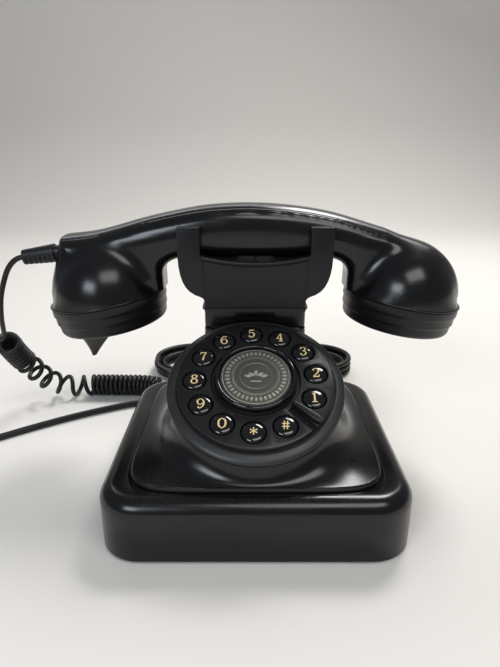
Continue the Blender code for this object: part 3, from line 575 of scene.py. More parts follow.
def cut_cross(screw, middle, reach, low, high):
    """Cuts the driver's cross into a screw's head."""
    for turn in (45, 135):
        across = middle @ Matrix.Rotation(math.radians(turn), 4, "Z")
        combine(screw, block("cross", (-reach, -0.0003, low), (reach, 0.0003, high), across), "DIFFERENCE")


def make_underside():
    recut("base_plate", PLAIN, "base", "plain_black", 0.0002)
    for number in range(1, 5):
        low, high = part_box(f"base_screw_{number}")
        middle = Matrix.Translation(((low.x + high.x) / 2, (low.y + high.y) / 2, 0))
        profile = [(0, 0.0009), (0.0021, 0.0006), (0.0027, 0.0006), (0.0030, 0.0009), (0.0030, 0.0015),
                   (0.0014, 0.0015)]
        for turn in range(16):
            profile += [(0.0014, 0.0020 + turn * 0.0006), (0.0011, 0.0023 + turn * 0.0006)]
        profile += [(0.0004, 0.0119), (0, 0.0120)]
        screw = turned(f"base_screw_{number}_look", profile, 32, matrix=middle)
        cut_cross(screw, middle, 0.0017, 0.0, 0.0013)
        fit(screw, ZINC, "base", "screw_steel", f"base_screw_{number}")
        low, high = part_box(f"foot_{number}")
        middle = Matrix.Translation(((low.x + high.x) / 2, (low.y + high.y) / 2, 0))
        profile = [(0, 0.0015), (0.0068, 0.0015), (0.0070, 0.0013), (0.0070, 0.0004), (0.0067, 0.0001),
                   (0.0064, 0.0), (0.0048, 0.0), (0.0046, 0.0003), (0.0040, 0.0003), (0.0038, 0.0), (0, 0.0)]
        foot = turned(f"foot_{number}_look", profile, 64, matrix=middle)
        fit(foot, RUBBER, "base", "foot_rubber", f"foot_{number}")


make_underside()


# ---------------------------------------------------------------- dial bezel, plate and finger stop
# The bezel is a satin ring that clips over the bell's seat. The plate inside it carries the
# keys, has a groove round the plaque and a channel beside the finger stop, a fixed bar.

BEZEL = finish("satin_grey_bezel", (0.022, 0.023, 0.024), 0.36, grain_scale=1700, grain=0.012, wear=0.5,
               specular=0.45)
DIAL = finish("satin_dial_plate", (0.0075, 0.0078, 0.0085), 0.30, grain_scale=1500, grain=0.010, wear=0.9,
              specular=0.40)
PLATE_TOP = -0.0012
KEY_CIRCLE = 0.0313
KEY_STEP = math.radians(29.0)
KEY_FIRST = math.radians(112.2)
KEY_LABELS = ("1", "2", "3", "4", "5", "6", "7", "8", "9", "0", "star", "hash")
STOP_ANGLE = math.radians(130.0)
CHANNEL_OFFSET = math.radians(6.5)
STOP_MIDDLE = 0.0324


def key_seat(index):
    """A key's middle on the dial, in its own x and y."""
    angle = KEY_FIRST - KEY_STEP * index
    return KEY_CIRCLE * math.sin(angle), KEY_CIRCLE * math.cos(angle)


def make_bezel():
    under = -0.0048
    ring = [(0.0418, -0.00425), (0.0424, -0.0044), (0.0440, -0.00485), (0.0452, -0.0054), (0.0458, -0.0058),
            (0.0461, -0.0063), (0.0461, -0.0081), (0.0458, -0.0085), (WELL_RADIUS, -0.0085),
            (WELL_RADIUS, under), (0.0407, under), (0.0408, -0.0046), (0.0412, -0.0043)]
    bezel = settle(turned("dial_bezel_look", ring, 160, True, dial_place()), 50)
    fit(bezel, BEZEL, "base", "satin_black", "dial_bezel")


def make_plate():
    """The plate, with a flared hole for each key and the channel beside the finger stop."""
    profile = [(0, 0.0), (0.0209, 0.0), (0.0211, 0.0002), (0.0213, 0.0012), (0.0215, 0.0014),
               (0.0226, 0.0014), (0.0228, 0.0012), (0.0230, 0.0002), (0.0232, 0.0), (0.0398, 0.0),
               (0.0402, 0.0002), (0.0404, 0.0006)]
    face = [(radius, PLATE_TOP - depth) for radius, depth in profile] + [(0.0404, -0.0045), (0, -0.0045)]
    plate = settle(turned("dial_plate_look", face, 160, matrix=dial_place()))
    channel = dial_place() @ Matrix.Rotation(-(STOP_ANGLE + CHANNEL_OFFSET), 4, "Z")
    cut = block("channel", (-0.0016, 0.0246, PLATE_TOP - 0.0018), (0.0016, 0.0425, 0.002), channel)
    combine(plate, cut, "DIFFERENCE")
    for index in range(len(KEY_LABELS)):
        x, y = key_seat(index)
        hole = [(0, 0.004), (0.0098, 0.004), (0.0066, PLATE_TOP + 0.0001), (0.0063, PLATE_TOP - 0.0003),
                (0.0062, PLATE_TOP - 0.0007), (0.0062, -0.008), (0, -0.008)]
        combine(plate, turned("hole", hole, 64, matrix=dial_place(x, y)), "DIFFERENCE")
    fit(plate, DIAL, "base", "satin_black", "dial_plate")


def make_finger_stop():
    """A short bar, widest towards the rim, with its top edge drawn in."""
    shape = bmesh.new()
    outline = [(-0.0011, 0.0236), (0.0011, 0.0236), (0.0020, 0.0380), (0.0013, 0.0412), (-0.0013, 0.0412),
               (-0.0020, 0.0380)]
    levels = []
    for height, shrink in ((PLATE_TOP + 0.0003, 0.0), (0.0010, 0.0), (0.0017, 0.0005)):
        narrower, shorter = 1 - shrink / 0.002, 1 - shrink / 0.009
        levels.append([Vector((x * narrower, STOP_MIDDLE + (y - STOP_MIDDLE) * shorter, height))
                       for x, y in outline])
    rows = skin(shape, levels)
    shape.faces.new(rows[0])
    shape.faces.new(rows[-1])
    bmesh.ops.recalc_face_normals(shape, faces=shape.faces)
    bmesh.ops.transform(shape, matrix=dial_place() @ Matrix.Rotation(-STOP_ANGLE, 4, "Z"), verts=shape.verts)
    stop = object_from(shape, "finger_stop_look")
    eased = stop.modifiers.new("eased", "BEVEL")
    eased.width = 0.00035
    eased.segments = 3
    eased.angle_limit = math.radians(20)
    fit(settle(stop, 30), DIAL, "base", "satin_black", "finger_stop")


make_bezel()
make_plate()
make_finger_stop()


# ---------------------------------------------------------------- keys
# Twelve glossy domed caps, each printed with a cream-gold slab figure under a clear coat.
# Each slides straight into the dial plate against the silicone sheet below.

KEY_GLOSS = finish("key_gloss", (0.005, 0.005, 0.0055), 0.07, smudge=0.05, grain=0.002, wear=0.25,
                   specular=0.4, coat=0.4)
FIGURE_PAINT = finish("cream_gold_print", (0.80, 0.60, 0.30), 0.33, smudge=0.1, grain_scale=2600, grain=0.004,
                      wear=0.0, dust=0.0, coat=0.6)
KEY_DOME = [(0, -0.0001), (0.0012, -0.00013), (0.0026, -0.0002), (0.0038, -0.0004), (0.0046, -0.0006),
            (0.0052, -0.00088), (0.0056, -0.0012), (0.0058, -0.0016)]
FIGURE_HEIGHT = 0.0058
# Pen strokes of (x, y, width), in figure heights about the figure's middle.
LOOP = [(0, 0.47, 0.07), (0.24, 0.28, 0.13), (0.29, 0, 0.16), (0.24, -0.28, 0.13), (0, -0.47, 0.07),
        (-0.24, -0.28, 0.13), (-0.29, 0, 0.16), (-0.24, 0.28, 0.13), (0, 0.47, 0.07)]
SIX = [(0.21, 0.33, 0.15), (0.05, 0.46, 0.08), (-0.17, 0.30, 0.11), (-0.27, 0, 0.15), (-0.22, -0.30, 0.12),
       (0, -0.47, 0.07), (0.21, -0.36, 0.11), (0.27, -0.17, 0.15), (0.18, 0.04, 0.10), (0, 0.10, 0.07),
       (-0.20, -0.04, 0.08)]
STROKES = {
    "1": [[(0.02, 0.46, 0.15), (0.02, -0.44, 0.15)], [(-0.18, 0.36, 0.07), (0.02, 0.44, 0.10)],
          [(-0.20, -0.46, 0.08), (0.24, -0.46, 0.08)]],
    "2": [[(-0.23, 0.24, 0.17), (-0.18, 0.41, 0.09), (0.02, 0.47, 0.08), (0.21, 0.36, 0.13),
           (0.22, 0.14, 0.15), (0.02, -0.14, 0.10), (-0.25, -0.42, 0.08)],
          [(-0.27, -0.43, 0.12), (0.24, -0.43, 0.12)], [(0.26, -0.22, 0.08), (0.24, -0.43, 0.10)]],
    "3": [[(-0.22, 0.27, 0.16), (-0.13, 0.44, 0.08), (0.08, 0.46, 0.08), (0.21, 0.32, 0.13),
           (0.17, 0.12, 0.10), (-0.04, 0.04, 0.07)],
          [(-0.04, 0.04, 0.07), (0.19, -0.06, 0.10), (0.25, -0.26, 0.15), (0.10, -0.45, 0.08),
           (-0.12, -0.45, 0.08), (-0.24, -0.27, 0.16)]],
    "4": [[(0.10, 0.47, 0.12), (0.10, -0.44, 0.15)], [(0.09, 0.46, 0.08), (-0.27, -0.15, 0.07)],
          [(-0.29, -0.17, 0.09), (0.28, -0.17, 0.09)], [(-0.08, -0.46, 0.08), (0.27, -0.46, 0.08)]],
    "5": [[(0.23, 0.43, 0.13), (-0.18, 0.43, 0.13)], [(-0.18, 0.44, 0.07), (-0.21, 0.02, 0.07)],
          [(-0.21, 0.02, 0.06), (0, 0.12, 0.08), (0.19, 0.04, 0.12), (0.25, -0.18, 0.15), (0.14, -0.42, 0.10),
           (-0.08, -0.46, 0.08), (-0.24, -0.29, 0.16)]],
    "6": [SIX],
    "7": [[(-0.25, 0.42, 0.13), (0.26, 0.42, 0.13)], [(-0.25, 0.44, 0.08), (-0.27, 0.22, 0.08)],
          [(0.26, 0.40, 0.09), (0.08, 0.05, 0.12), (-0.03, -0.47, 0.16)]],
    "8": [[(0, 0.47, 0.07), (0.17, 0.38, 0.12), (0.20, 0.25, 0.14), (0.10, 0.09, 0.09), (0, 0.03, 0.07),
           (-0.10, 0.09, 0.09), (-0.20, 0.25, 0.14), (-0.17, 0.38, 0.12), (0, 0.47, 0.07)],
          [(0, 0.03, 0.07), (0.20, -0.07, 0.12), (0.26, -0.24, 0.15), (0.18, -0.40, 0.10), (0, -0.47, 0.07),
           (-0.18, -0.40, 0.10), (-0.26, -0.24, 0.15), (-0.20, -0.07, 0.12), (0, 0.03, 0.07)]],
    "9": [[(-x, -y, width) for x, y, width in SIX]],
    "0": [LOOP],
    "star": [[(0.34 * math.cos(turn), 0.34 * math.sin(turn), 0.12), (0, 0, 0.07),
              (-0.34 * math.cos(turn), -0.34 * math.sin(turn), 0.12)]
             for turn in (math.radians(30), math.radians(90), math.radians(150))],
    "hash": [[(x + 0.03, 0.40, 0.09), (x - 0.03, -0.40, 0.09)] for x in (-0.13, 0.13)]
            + [[(-0.31, y, 0.09), (0.31, y, 0.09)] for y in (-0.14, 0.14)],
}


def catmull(points, pieces):
    """A smooth line through points of any dimension, with so many pieces between two of them."""
    points = np.array(points, float)
    ends = np.vstack([2 * points[0] - points[1], points, 2 * points[-1] - points[-2]])
    line = [points[0]]
    for before, start, end, after in zip(ends, ends[1:], ends[2:], ends[3:]):
        for step in range(1, pieces + 1):
            t = step / pieces
            line.append(0.5 * (2 * start + (end - before) * t
                               + (2 * before - 5 * start + 4 * end - after) * t ** 2
                               + (3 * start - before - 3 * end + after) * t ** 3))
    return np.array(line)


def draw_figure(shape, strokes):
    """Lays each pen stroke on the cap's dome as a thin closed ribbon."""
    radii, heights = zip(*KEY_DOME)
    for stroke in strokes:
        line = catmull(stroke, 7 if len(stroke) > 2 else 4)
        place, width = line[:, :2] * FIGURE_HEIGHT, line[:, 2:] * FIGURE_HEIGHT / 2
        along = np.gradient(place, axis=0)
        if np.allclose(place[0], place[-1]):
            along[0] = along[-1] = place[1] - place[-2]
        across = np.stack([-along[:, 1], along[:, 0]], 1) / np.linalg.norm(along, axis=1, keepdims=True)
        sides = []
        for edge in (place + across * width, place - across * width):
            level = np.interp(np.linalg.norm(edge, axis=1), radii, heights)
            for lift in (0.00006, -0.00004):
                sides.append([Vector((x, y, z + lift)) for (x, y), z in zip(edge, level)])
        left_top, left_low, right_top, right_low = sides
        rings = [list(corners) for corners in zip(left_top, right_top, right_low, left_low)]
        rows = skin(shape, rings)
        shape.faces.new(rows[0])
        shape.faces.new(rows[-1])


def make_keys():
    """A cap and its printed figure for each key, which slide together."""
    for index, label in enumerate(KEY_LABELS):
        seat = dial_place(*key_seat(index))
        profile = KEY_DOME + [(0.0058, -0.0090), (0.0056, -0.0092), (0, -0.0092)]
        cap = settle(turned(f"key_{label}_cap", profile, 64, matrix=seat), 55)
        fit(cap, KEY_GLOSS, "key_" + label, "key_black", "key_" + label)
        shape = bmesh.new()
        draw_figure(shape, STROKES[label])
        bmesh.ops.recalc_face_normals(shape, faces=shape.faces)
        bmesh.ops.transform(shape, matrix=seat, verts=shape.verts)
        fit(settle(object_from(shape, f"key_{label}_figure"), 40), FIGURE_PAINT, "key_" + label, "key_black")


make_keys()


# ---------------------------------------------------------------- centre plaque
# A pressed disc of antique pewter with a beaded border, fine rings and a plain leaf sprig over a
# short bar. Its recesses hold dark patina. A glossy black ring clips it to the plate.

PLAQUE_FACE = [(0.0, 0.00215), (0.0160, 0.00185), (0.0176, 0.0017), (0.0182, 0.0015), (0.0184, 0.0011)]
PLAQUE_EDGE = 0.0176
PLAQUE_RELIEF = 0.00022
PLAQUE_CIRCLES = 92
PLAQUE_SPOKES = 360
BORDER_INNER = 0.0130
BORDER_OUTER = 0.0162
BORDER_BEADS = 40
SPRIG = [(0.0, 0.0016, 90), (-0.0022, 0.0008, 150), (0.0022, 0.0008, 30), (-0.0041, -0.0002, 170),
         (0.0041, -0.0002, 10)]


def plaque_height(x, y):
    """How far the pressed pattern stands up, from 0 to 1."""
    radius, angle = math.hypot(x, y), math.atan2(y, x)
    raised = 0.15
    for line, width in ((0.0171, 0.0004), (0.0121, 0.00022), (0.0113, 0.00018), (0.0082, 0.0002)):
        raised = max(raised, 1.0 - abs(radius - line) / width)
    if BORDER_INNER < radius < BORDER_OUTER:
        across_border = (radius - BORDER_INNER) / (BORDER_OUTER - BORDER_INNER)
        bead = (0.5 + 0.5 * math.cos(BORDER_BEADS * angle)) * math.sin(math.pi * across_border)
        raised = max(raised, 0.15 + 0.75 * bead)
    for leaf_x, leaf_y, degrees in SPRIG:
        turn = math.radians(degrees)
        along = (x - leaf_x) * math.cos(turn) + (y - leaf_y) * math.sin(turn)
        across = (y - leaf_y) * math.cos(turn) - (x - leaf_x) * math.sin(turn)
        reach = 1.0 - (along / 0.0021) ** 2 - (across / 0.0010) ** 2
        raised = max(raised, 0.15 + 1.3 * max(reach, 0.0) - 0.5 * (abs(across) < 0.00012))
    if abs(x) < 0.0028 and abs(y + 0.0036) < 0.0003:
        raised = max(raised, 0.9)
    return min(max(raised, 0.0), 1.0)


def pewter_finish():
    """Bright where the pattern stands up, and dark with patina in its recesses."""
    made = finish("antique_pewter", (0.30, 0.30, 0.255), 0.42, smudge=0.12, grain_scale=3200, grain=0.05,
                  wear=0.0, metallic=0.55)
    nodes, links = made.node_tree.nodes, made.node_tree.links
    raised = nodes.new("ShaderNodeAttribute")
    raised.attribute_name = "relief"
    surface = next(node for node in nodes if node.type == "GROUP")
    shade = stretch(nodes, links, raised.outputs["Fac"], 0.1, 0.8, 0.0, 1.0)
    colour = tint(nodes, links, shade, (0.050, 0.050, 0.042), surface.outputs["Colour"])
    links.new(colour, nodes["Principled BSDF"].inputs["Base Color"])
    return made


def make_plaque():
    """The pressed disc, its height carried along as an attribute that the patina reads, and its ring."""
    shape = bmesh.new()
    rows = []
    raised = {}
    around = PLAQUE_SPOKES
    radii, heights = zip(*PLAQUE_FACE)
    for step in range(1, PLAQUE_CIRCLES + 1):
        radius = radii[-1] * step / PLAQUE_CIRCLES
        row = []
        for k in range(around):
            angle = math.tau * k / around
            x, y = radius * math.cos(angle), radius * math.sin(angle)
            lift = plaque_height(x, y) if radius < PLAQUE_EDGE else 0.0
            point = shape.verts.new((x, y, np.interp(radius, radii, heights) + PLAQUE_RELIEF * lift))
            raised[point] = lift
            row.append(point)
        rows.append(row)
    foot = [shape.verts.new((*point.co.xy, -0.0009)) for point in rows[-1]]
    rows.append(foot)
    for inner, outer in zip(rows, rows[1:]):
        for k in range(around):
            shape.faces.new((inner[k], outer[k], outer[(k + 1) % around], inner[(k + 1) % around]))
    middle = shape.verts.new((0, 0, heights[0]))
    for k in range(around):
        shape.faces.new((middle, rows[0][k], rows[0][(k + 1) % around]))
    shape.faces.new(foot)
    bmesh.ops.recalc_face_normals(shape, faces=shape.faces)
    shape.verts.index_update()
    levels = [raised.get(point, 0.2) for point in shape.verts]
    bmesh.ops.transform(shape, matrix=dial_place(), verts=shape.verts)
    plaque = object_from(shape, "centre_plaque_look")
    plaque.data.attributes.new("relief", "FLOAT", "POINT").data.foreach_set("value", levels)
    fit(settle(plaque, 60), pewter_finish(), "base", "pewter", "centre_plaque")
    ring = [(0.0192, 0.00285), (0.0196, 0.0029), (0.0202, 0.0028), (0.0206, 0.0024), (0.0208, 0.0018),
            (0.0208, -0.0009), (0.0187, -0.0009), (0.0187, 0.0021), (0.0189, 0.0026)]
    fit(settle(turned("plaque_ring_look", ring, 128, True, dial_place()), 50), KEY_GLOSS, "base", "key_black",
        "plaque_ring")


make_plaque()


# ---------------------------------------------------------------- cradle and hook plunger
# A satin black saddle stands on the post: two shaped plates with four square horns, joined by a
# floor. Each plate is hollowed under its curved lip. The switch plunger comes up through the floor.

CRADLE_HALF_DEPTH = 0.022
CRADLE_PLATE = 0.006
HORN_TOP = 0.1455
HORN_INSIDE = 0.0300
SADDLE_FLOOR = 0.1273
HORN_FLOOR = 0.1215
RECESS_HALF_WIDTH = 0.0287
CRADLE_SIDE = [(0.0281, 0.1010), (0.0281, 0.1030), (0.0283, 0.1052), (0.0292, 0.1068), (0.0310, 0.1077),
               (0.0335, 0.1087), (0.0362, 0.1105), (0.0384, 0.1131), (0.0400, 0.1163), (0.0411, 0.1200),
               (0.0418, 0.1245), (0.0421, 0.1300), (0.0421, HORN_TOP)]


def even(line, spacing):
    """The same line with its points that far apart, and how far along it each one is."""
    line = np.array(line, float)
    along = np.concatenate([[0.0], np.cumsum(np.linalg.norm(np.diff(line, axis=0), axis=1))])
    places = np.linspace(0.0, along[-1], max(3, int(along[-1] / spacing) + 1))
    return np.stack([np.interp(places, along, line[:, axis]) for axis in range(3)], 1), places


def transported(line):
    """Two directions square to the line at each of its points, which don't twist about it."""
    heading = np.gradient(line, axis=0)
    heading /= np.linalg.norm(heading, axis=1, keepdims=True)
    side = np.cross(heading[0], (0.0, 0.0, 1.0) if abs(heading[0][2]) < 0.9 else (0.0, 1.0, 0.0))
    sides = []
    for forward in heading:
        side = side - forward * side.dot(forward)
        side /= np.linalg.norm(side)
        sides.append(side)
    sides = np.array(sides)
    return sides, np.cross(heading, sides)


def cable(name, line, diameter, sides):
    """A round wire with closed ends along the line."""
    first, second = transported(line)
    rings = []
    for point, a, b in zip(line, first, second):
        ring = []
        for k in range(sides):
            angle = math.tau * k / sides
            ring.append(Vector(point + diameter / 2 * (a * math.cos(angle) + b * math.sin(angle))))
        rings.append(ring)
    return closed_loft(name, rings)


def saddle_lip(x):
    """Height of the saddle's edge, which dips in an arc between the horns."""
    return 0.1268 + 0.0035 * (x / 0.0296) ** 2


def make_cradle():
    """The saddle from its front outline, with hollowed faces, the handset's channel and rolled lips."""
    side = [(0.0283, NECK_TOP + 0.0003)] + CRADLE_SIDE
    top = [(HORN_INSIDE, HORN_TOP), (HORN_INSIDE, 0.1308), (0.0296, 0.1303)]
    top += [(x, saddle_lip(x)) for x in (0.0275, 0.0250, 0.0220, 0.0190, 0.0160, 0.0120, 0.0080, 0.0040, 0.0)]
    half = side + top
    outline = half + [(-x, z) for x, z in reversed(half[:-1])]
    rings = [[Vector((x, HANDSET_Y + y, z)) for x, z in outline]
             for y in (-CRADLE_HALF_DEPTH, CRADLE_HALF_DEPTH)]
    cradle = closed_loft("cradle_look", rings)
    for face in (-1, 1):
        slices = []
        for x in np.linspace(-RECESS_HALF_WIDTH, RECESS_HALF_WIDTH, 33):
            low, high = 0.1008, saddle_lip(x) - 0.0024
            hollowed = 0.0014 * (1 - (x / RECESS_HALF_WIDTH) ** 2)
            open_y = HANDSET_Y + face * (CRADLE_HALF_DEPTH + 0.003)
            floor_y = HANDSET_Y + face * (CRADLE_HALF_DEPTH - 0.0008 - hollowed)
            slices.append([Vector((x, open_y, low)), Vector((x, open_y, high)), Vector((x, floor_y, high)),
                           Vector((x, floor_y, low))])
        combine(cradle, closed_loft("front_recess", slices), "DIFFERENCE")
    inner = CRADLE_HALF_DEPTH - CRADLE_PLATE
    for low_x, high_x, floor in ((-0.0310, 0.0310, SADDLE_FLOOR), (0.0309, 0.0450, HORN_FLOOR),
                                 (-0.0450, -0.0309, HORN_FLOOR)):
        channel = block("channel", (low_x, HANDSET_Y - inner, floor), (high_x, HANDSET_Y + inner, 0.16))
        combine(cradle, channel, "DIFFERENCE")
    at_plunger = Matrix.Translation((0, HANDSET_Y, 0))
    combine(cradle, rod("plunger_hole", 0.0025, 0.095, 0.135, at_plunger), "DIFFERENCE")
    eased = cradle.modifiers.new("eased", "BEVEL")
    eased.width = 0.0009
    eased.segments = 3
    eased.angle_limit = math.radians(50)
    settle(cradle, 30)
    for face in (-1, 1):
        line = [(x, HANDSET_Y + face * (CRADLE_HALF_DEPTH - 0.0004), saddle_lip(x) - 0.0011)
                for x in np.linspace(-0.0290, 0.0290, 49)]
        combine(cradle, cable("saddle_lip", np.array(line), 0.0026, 20), "UNION")
    fit(cradle, SATIN, "base", "satin_black", "cradle")


def make_plunger():
    """A plain pin with a rounded head."""
    low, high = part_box("hook_plunger")
    profile = [(0, high.z), (0.0014, high.z), (0.0020, high.z - 0.0003), (0.0022, high.z - 0.0009),
               (0.0022, low.z), (0, low.z)]
    pin = settle(turned("hook_plunger_look", profile, 48, matrix=Matrix.Translation((0, HANDSET_Y, 0))))
    fit(pin, PLAIN, "hook", "plain_black", "hook_plunger")


make_cradle()
make_plunger()


# ---------------------------------------------------------------- handset shell and cover
# The handle is a gloss black moulding that arches over the cradle. A round cup swells from it at
# each end, blended by a soft fillet. A thin crowned strip closes its back along a fine seam.

CUP_X = 0.0868
CUP_Z = 0.1029
CUP_RADIUS = 0.0337
CUP_TILT = math.radians(9.2)
CUP_WALL = 0.0026
CUP_HALVES = (0.0306, 0.0337, 0.0328)
CUP_RIM = -0.0002
HANDLE_HALF_DEPTH = 0.015
HANDLE_UNDERSIDE = 0.1276
HANDLE_ROUND = 0.0065
HANDLE_BULGE = 0.0018
HANDLE_TAPER = 0.0026
CROWN = 0.0012
SEAM_DEPTH = 0.0019
SEAM_HALF_GAP = 0.00012
COVER_END = 0.0737
SKIN_FACET = 0.00105
RELIEF_ROOT = Vector((-0.1098, HANDSET_Y, 0.1288))
RELIEF_TURN = Matrix.Rotation(math.radians(-98), 4, "Y")
HANDSET_SCREWS = (-0.0385, 0.0385)
HANDSET_BACK = [(-0.1085, 0.1385), (-0.0880, 0.1413), (-0.0560, 0.1497), (-0.0240, 0.1553), (0.0085, 0.1558),
                (0.0410, 0.1516), (0.0740, 0.1422)]


def ring_height(x):
    """Height of a cup's rim plane under a place on the handset's axis."""
    return CUP_Z - (abs(x) - CUP_X) * math.tan(CUP_TILT)


def handle_outline():
    """Side view of the handle and the flat flanges of the cups, closed, as x and z."""
    left = [(-0.1176, ring_height(0.1176) - 0.006), (-0.1166, 0.1030), (-0.1146, 0.1150), (-0.1120, 0.1290),
            (-0.1108, 0.1348), (-0.1103, 0.1366), (-0.1094, 0.1379)]
    back = [tuple(point) for point in catmull(HANDSET_BACK, 10)]
    crest = [(0.0800, 0.1398), (0.0850, 0.1374)]
    reach = CUP_RADIUS - 0.0040
    arc = []
    for degrees in range(76, -1, -6):
        angle = math.radians(degrees)
        arc.append((CUP_X + reach * math.cos(angle), CUP_Z + 1.02 * reach * math.sin(angle)))
    arc.append((CUP_X + reach + 0.0006, ring_height(CUP_X + reach) - 0.006))
    bend = [(0.0527, 0.1140), (0.0527, 0.1180), (0.0515, 0.1215), (0.0480, 0.1247), (0.0420, 0.1268),
            (0.0360, HANDLE_UNDERSIDE)]
    under = [(0.0525, ring_height(0.0525) - 0.006)] + [tuple(point) for point in catmull(bend, 5)]
    return np.array(left + back + crest + arc + under + [(-x, z) for x, z in reversed(under)])


def outline_distance(outline, x, z):
    """Distance from the points to the closed outline, negative inside it."""
    best = np.full(len(x), 1e9)
    inside = np.zeros(len(x), bool)
    for (ax, az), (bx, bz) in zip(outline, np.roll(outline, -1, axis=0)):
        ex, ez = bx - ax, bz - az
        share = np.clip(((x - ax) * ex + (z - az) * ez) / (ex * ex + ez * ez), 0, 1)
        best = np.minimum(best, (x - ax - share * ex) ** 2 + (z - az - share * ez) ** 2)
        crosses = (az > z) != (bz > z)
        where = ax + (z - az) * ex / (ez if ez else 1e-12)
        inside ^= crosses & (x < where)
    return np.sqrt(best) * np.where(inside, -1.0, 1.0)


def soft_union(first, second, reach):
    """The nearer of two distances, with a fillet of about that reach where they meet."""
    share = np.clip(0.5 + 0.5 * (second - first) / reach, 0, 1)
    return second + (first - second) * share - reach * share * (1 - share)


def handset_distance(points, outline):
    """Distance to the handset's skin, as if its cups ran on below their rims."""
    x, y, z = points[:, 0], points[:, 1] - HANDSET_Y, points[:, 2]
    top = np.clip((z - 0.128) / 0.012, 0, 1)
    flat = outline_distance(outline, x, z + CROWN * (y / HANDLE_HALF_DEPTH) ** 2 * top)
    taper = (HANDLE_BULGE + HANDLE_TAPER * top) * np.clip(1 + flat / 0.013, 0, 1) ** 2
    across = np.abs(y) - HANDLE_HALF_DEPTH + taper
    near, far = flat + HANDLE_ROUND, across + HANDLE_ROUND
    outside = np.hypot(np.maximum(near, 0), np.maximum(far, 0))
    whole = np.minimum(np.maximum(near, far), 0) + outside - HANDLE_ROUND
    for side in (-1, 1):
        tilt = side * CUP_TILT
        local_x = (x - side * CUP_X) * math.cos(tilt) - (z - CUP_Z) * math.sin(tilt)
        local_z = (x - side * CUP_X) * math.sin(tilt) + (z - CUP_Z) * math.cos(tilt)
        flare = np.clip(1 - local_z / 0.007, 0, 1) ** 2
        halves = [CUP_HALVES[0] + (CUP_RADIUS - CUP_HALVES[0]) * flare, CUP_HALVES[1], CUP_HALVES[2]]
        scaled = [local_x / halves[0], y / halves[1], np.maximum(local_z, 0) / halves[2]]
        length = np.sqrt(sum(value ** 2 for value in scaled))
        slope = np.sqrt(sum((value / half) ** 2 for value, half in zip(scaled, halves)))
        cup = length * (length - 1) / np.maximum(slope, 1e-6)
        fillet = 0.0005 + 0.0050 * np.clip(local_z / 0.008, 0, 1)
        whole = soft_union(whole, cup, fillet)
    return whole


def handset_skin():
    """The joined cups and handle, remade in even facets and drawn onto the exact skin."""
    outline = handle_outline()
    rings = [[Vector((x, HANDSET_Y + y, z)) for x, z in outline]
             for y in (-HANDLE_HALF_DEPTH, HANDLE_HALF_DEPTH)]
    solid = closed_loft("handset_skin", rings)
    for side in (-1, 1):
        arc = [(math.sin(math.radians(a)), math.cos(math.radians(a))) for a in range(0, 91, 5)]
        profile = [(CUP_RADIUS * r, CUP_HALVES[2] * z) for r, z in arc[1:-1]] + [(CUP_RADIUS, 0)]
        profile = [(0, CUP_HALVES[2])] + profile + [(CUP_RADIUS, -0.005), (0, -0.005)]
        combine(solid, turned("cup", profile, 96, matrix=cup_place(side)), "UNION")
    even_out = solid.modifiers.new("even", "REMESH")
    even_out.mode = "VOXEL"
    even_out.voxel_size = SKIN_FACET
    settle(solid)
    count = len(solid.data.vertices)
    points = np.zeros(count * 3)
    solid.data.vertices.foreach_get("co", points)
    points = points.reshape(-1, 3)
    probe = 2e-5
    for _ in range(5):
        here = handset_distance(points, outline)
        slope = np.stack([(handset_distance(points + step, outline)
                           - handset_distance(points - step, outline)) / (2 * probe)
                          for step in np.eye(3) * probe], 1)
        size = np.maximum((slope ** 2).sum(1), 0.3)
        move = np.clip(here, -0.0012, 0.0012) / size
        points = points - slope * move[:, None]
    solid.data.vertices.foreach_set("co", points.ravel())
    solid.data.update()
    return solid


def cup_place(side):
    """A cup's own place, tilted outwards, with Z up its axis from the rim: 1 is the ear, -1 the mouth."""
    return Matrix.Translation((side * CUP_X, HANDSET_Y, CUP_Z)) @ Matrix.Rotation(side * CUP_TILT, 4, "Y")


def seam_tool(name, lift, end_x):
    """Everything above a sheet that follows the back a little under it, as far as the cover's end."""
    back = catmull(HANDSET_BACK, 8)
    line = [(-0.130, back[0][1] - SEAM_DEPTH + lift)]
    line += [(x, z - SEAM_DEPTH + lift) for x, z in back if x < end_x - 0.001]
    end_z = float(np.interp(end_x, [x for x, _ in back], [z for _, z in back])) - SEAM_DEPTH + lift
    line.append((end_x, end_z))
    outline = line + [(end_x, 0.17), (-0.130, 0.17)]
    rings = [[Vector((x, HANDSET_Y + y, z)) for x, z in outline] for y in (-0.05, 0.05)]
    return closed_loft(name, rings)


def even_shading(made):
    """Drops the thinnest slivers along a cut, and shades by the large facets."""
    weld = bmesh.new()
    weld.from_mesh(made.data)
    bmesh.ops.dissolve_degenerate(weld, dist=0.00004, edges=weld.edges)
    weld.to_mesh(made.data)
    weld.free()
    made.data.set_sharp_from_angle(angle=math.radians(40))
    level = made.modifiers.new("level", "WEIGHTED_NORMAL")
    level.keep_sharp = True
    level.weight = 80
    graph = bpy.context.evaluated_depsgraph_get()
    mesh = bpy.data.meshes.new_from_object(made.evaluated_get(graph))
    made.modifiers.clear()
    made.data = mesh
    return made


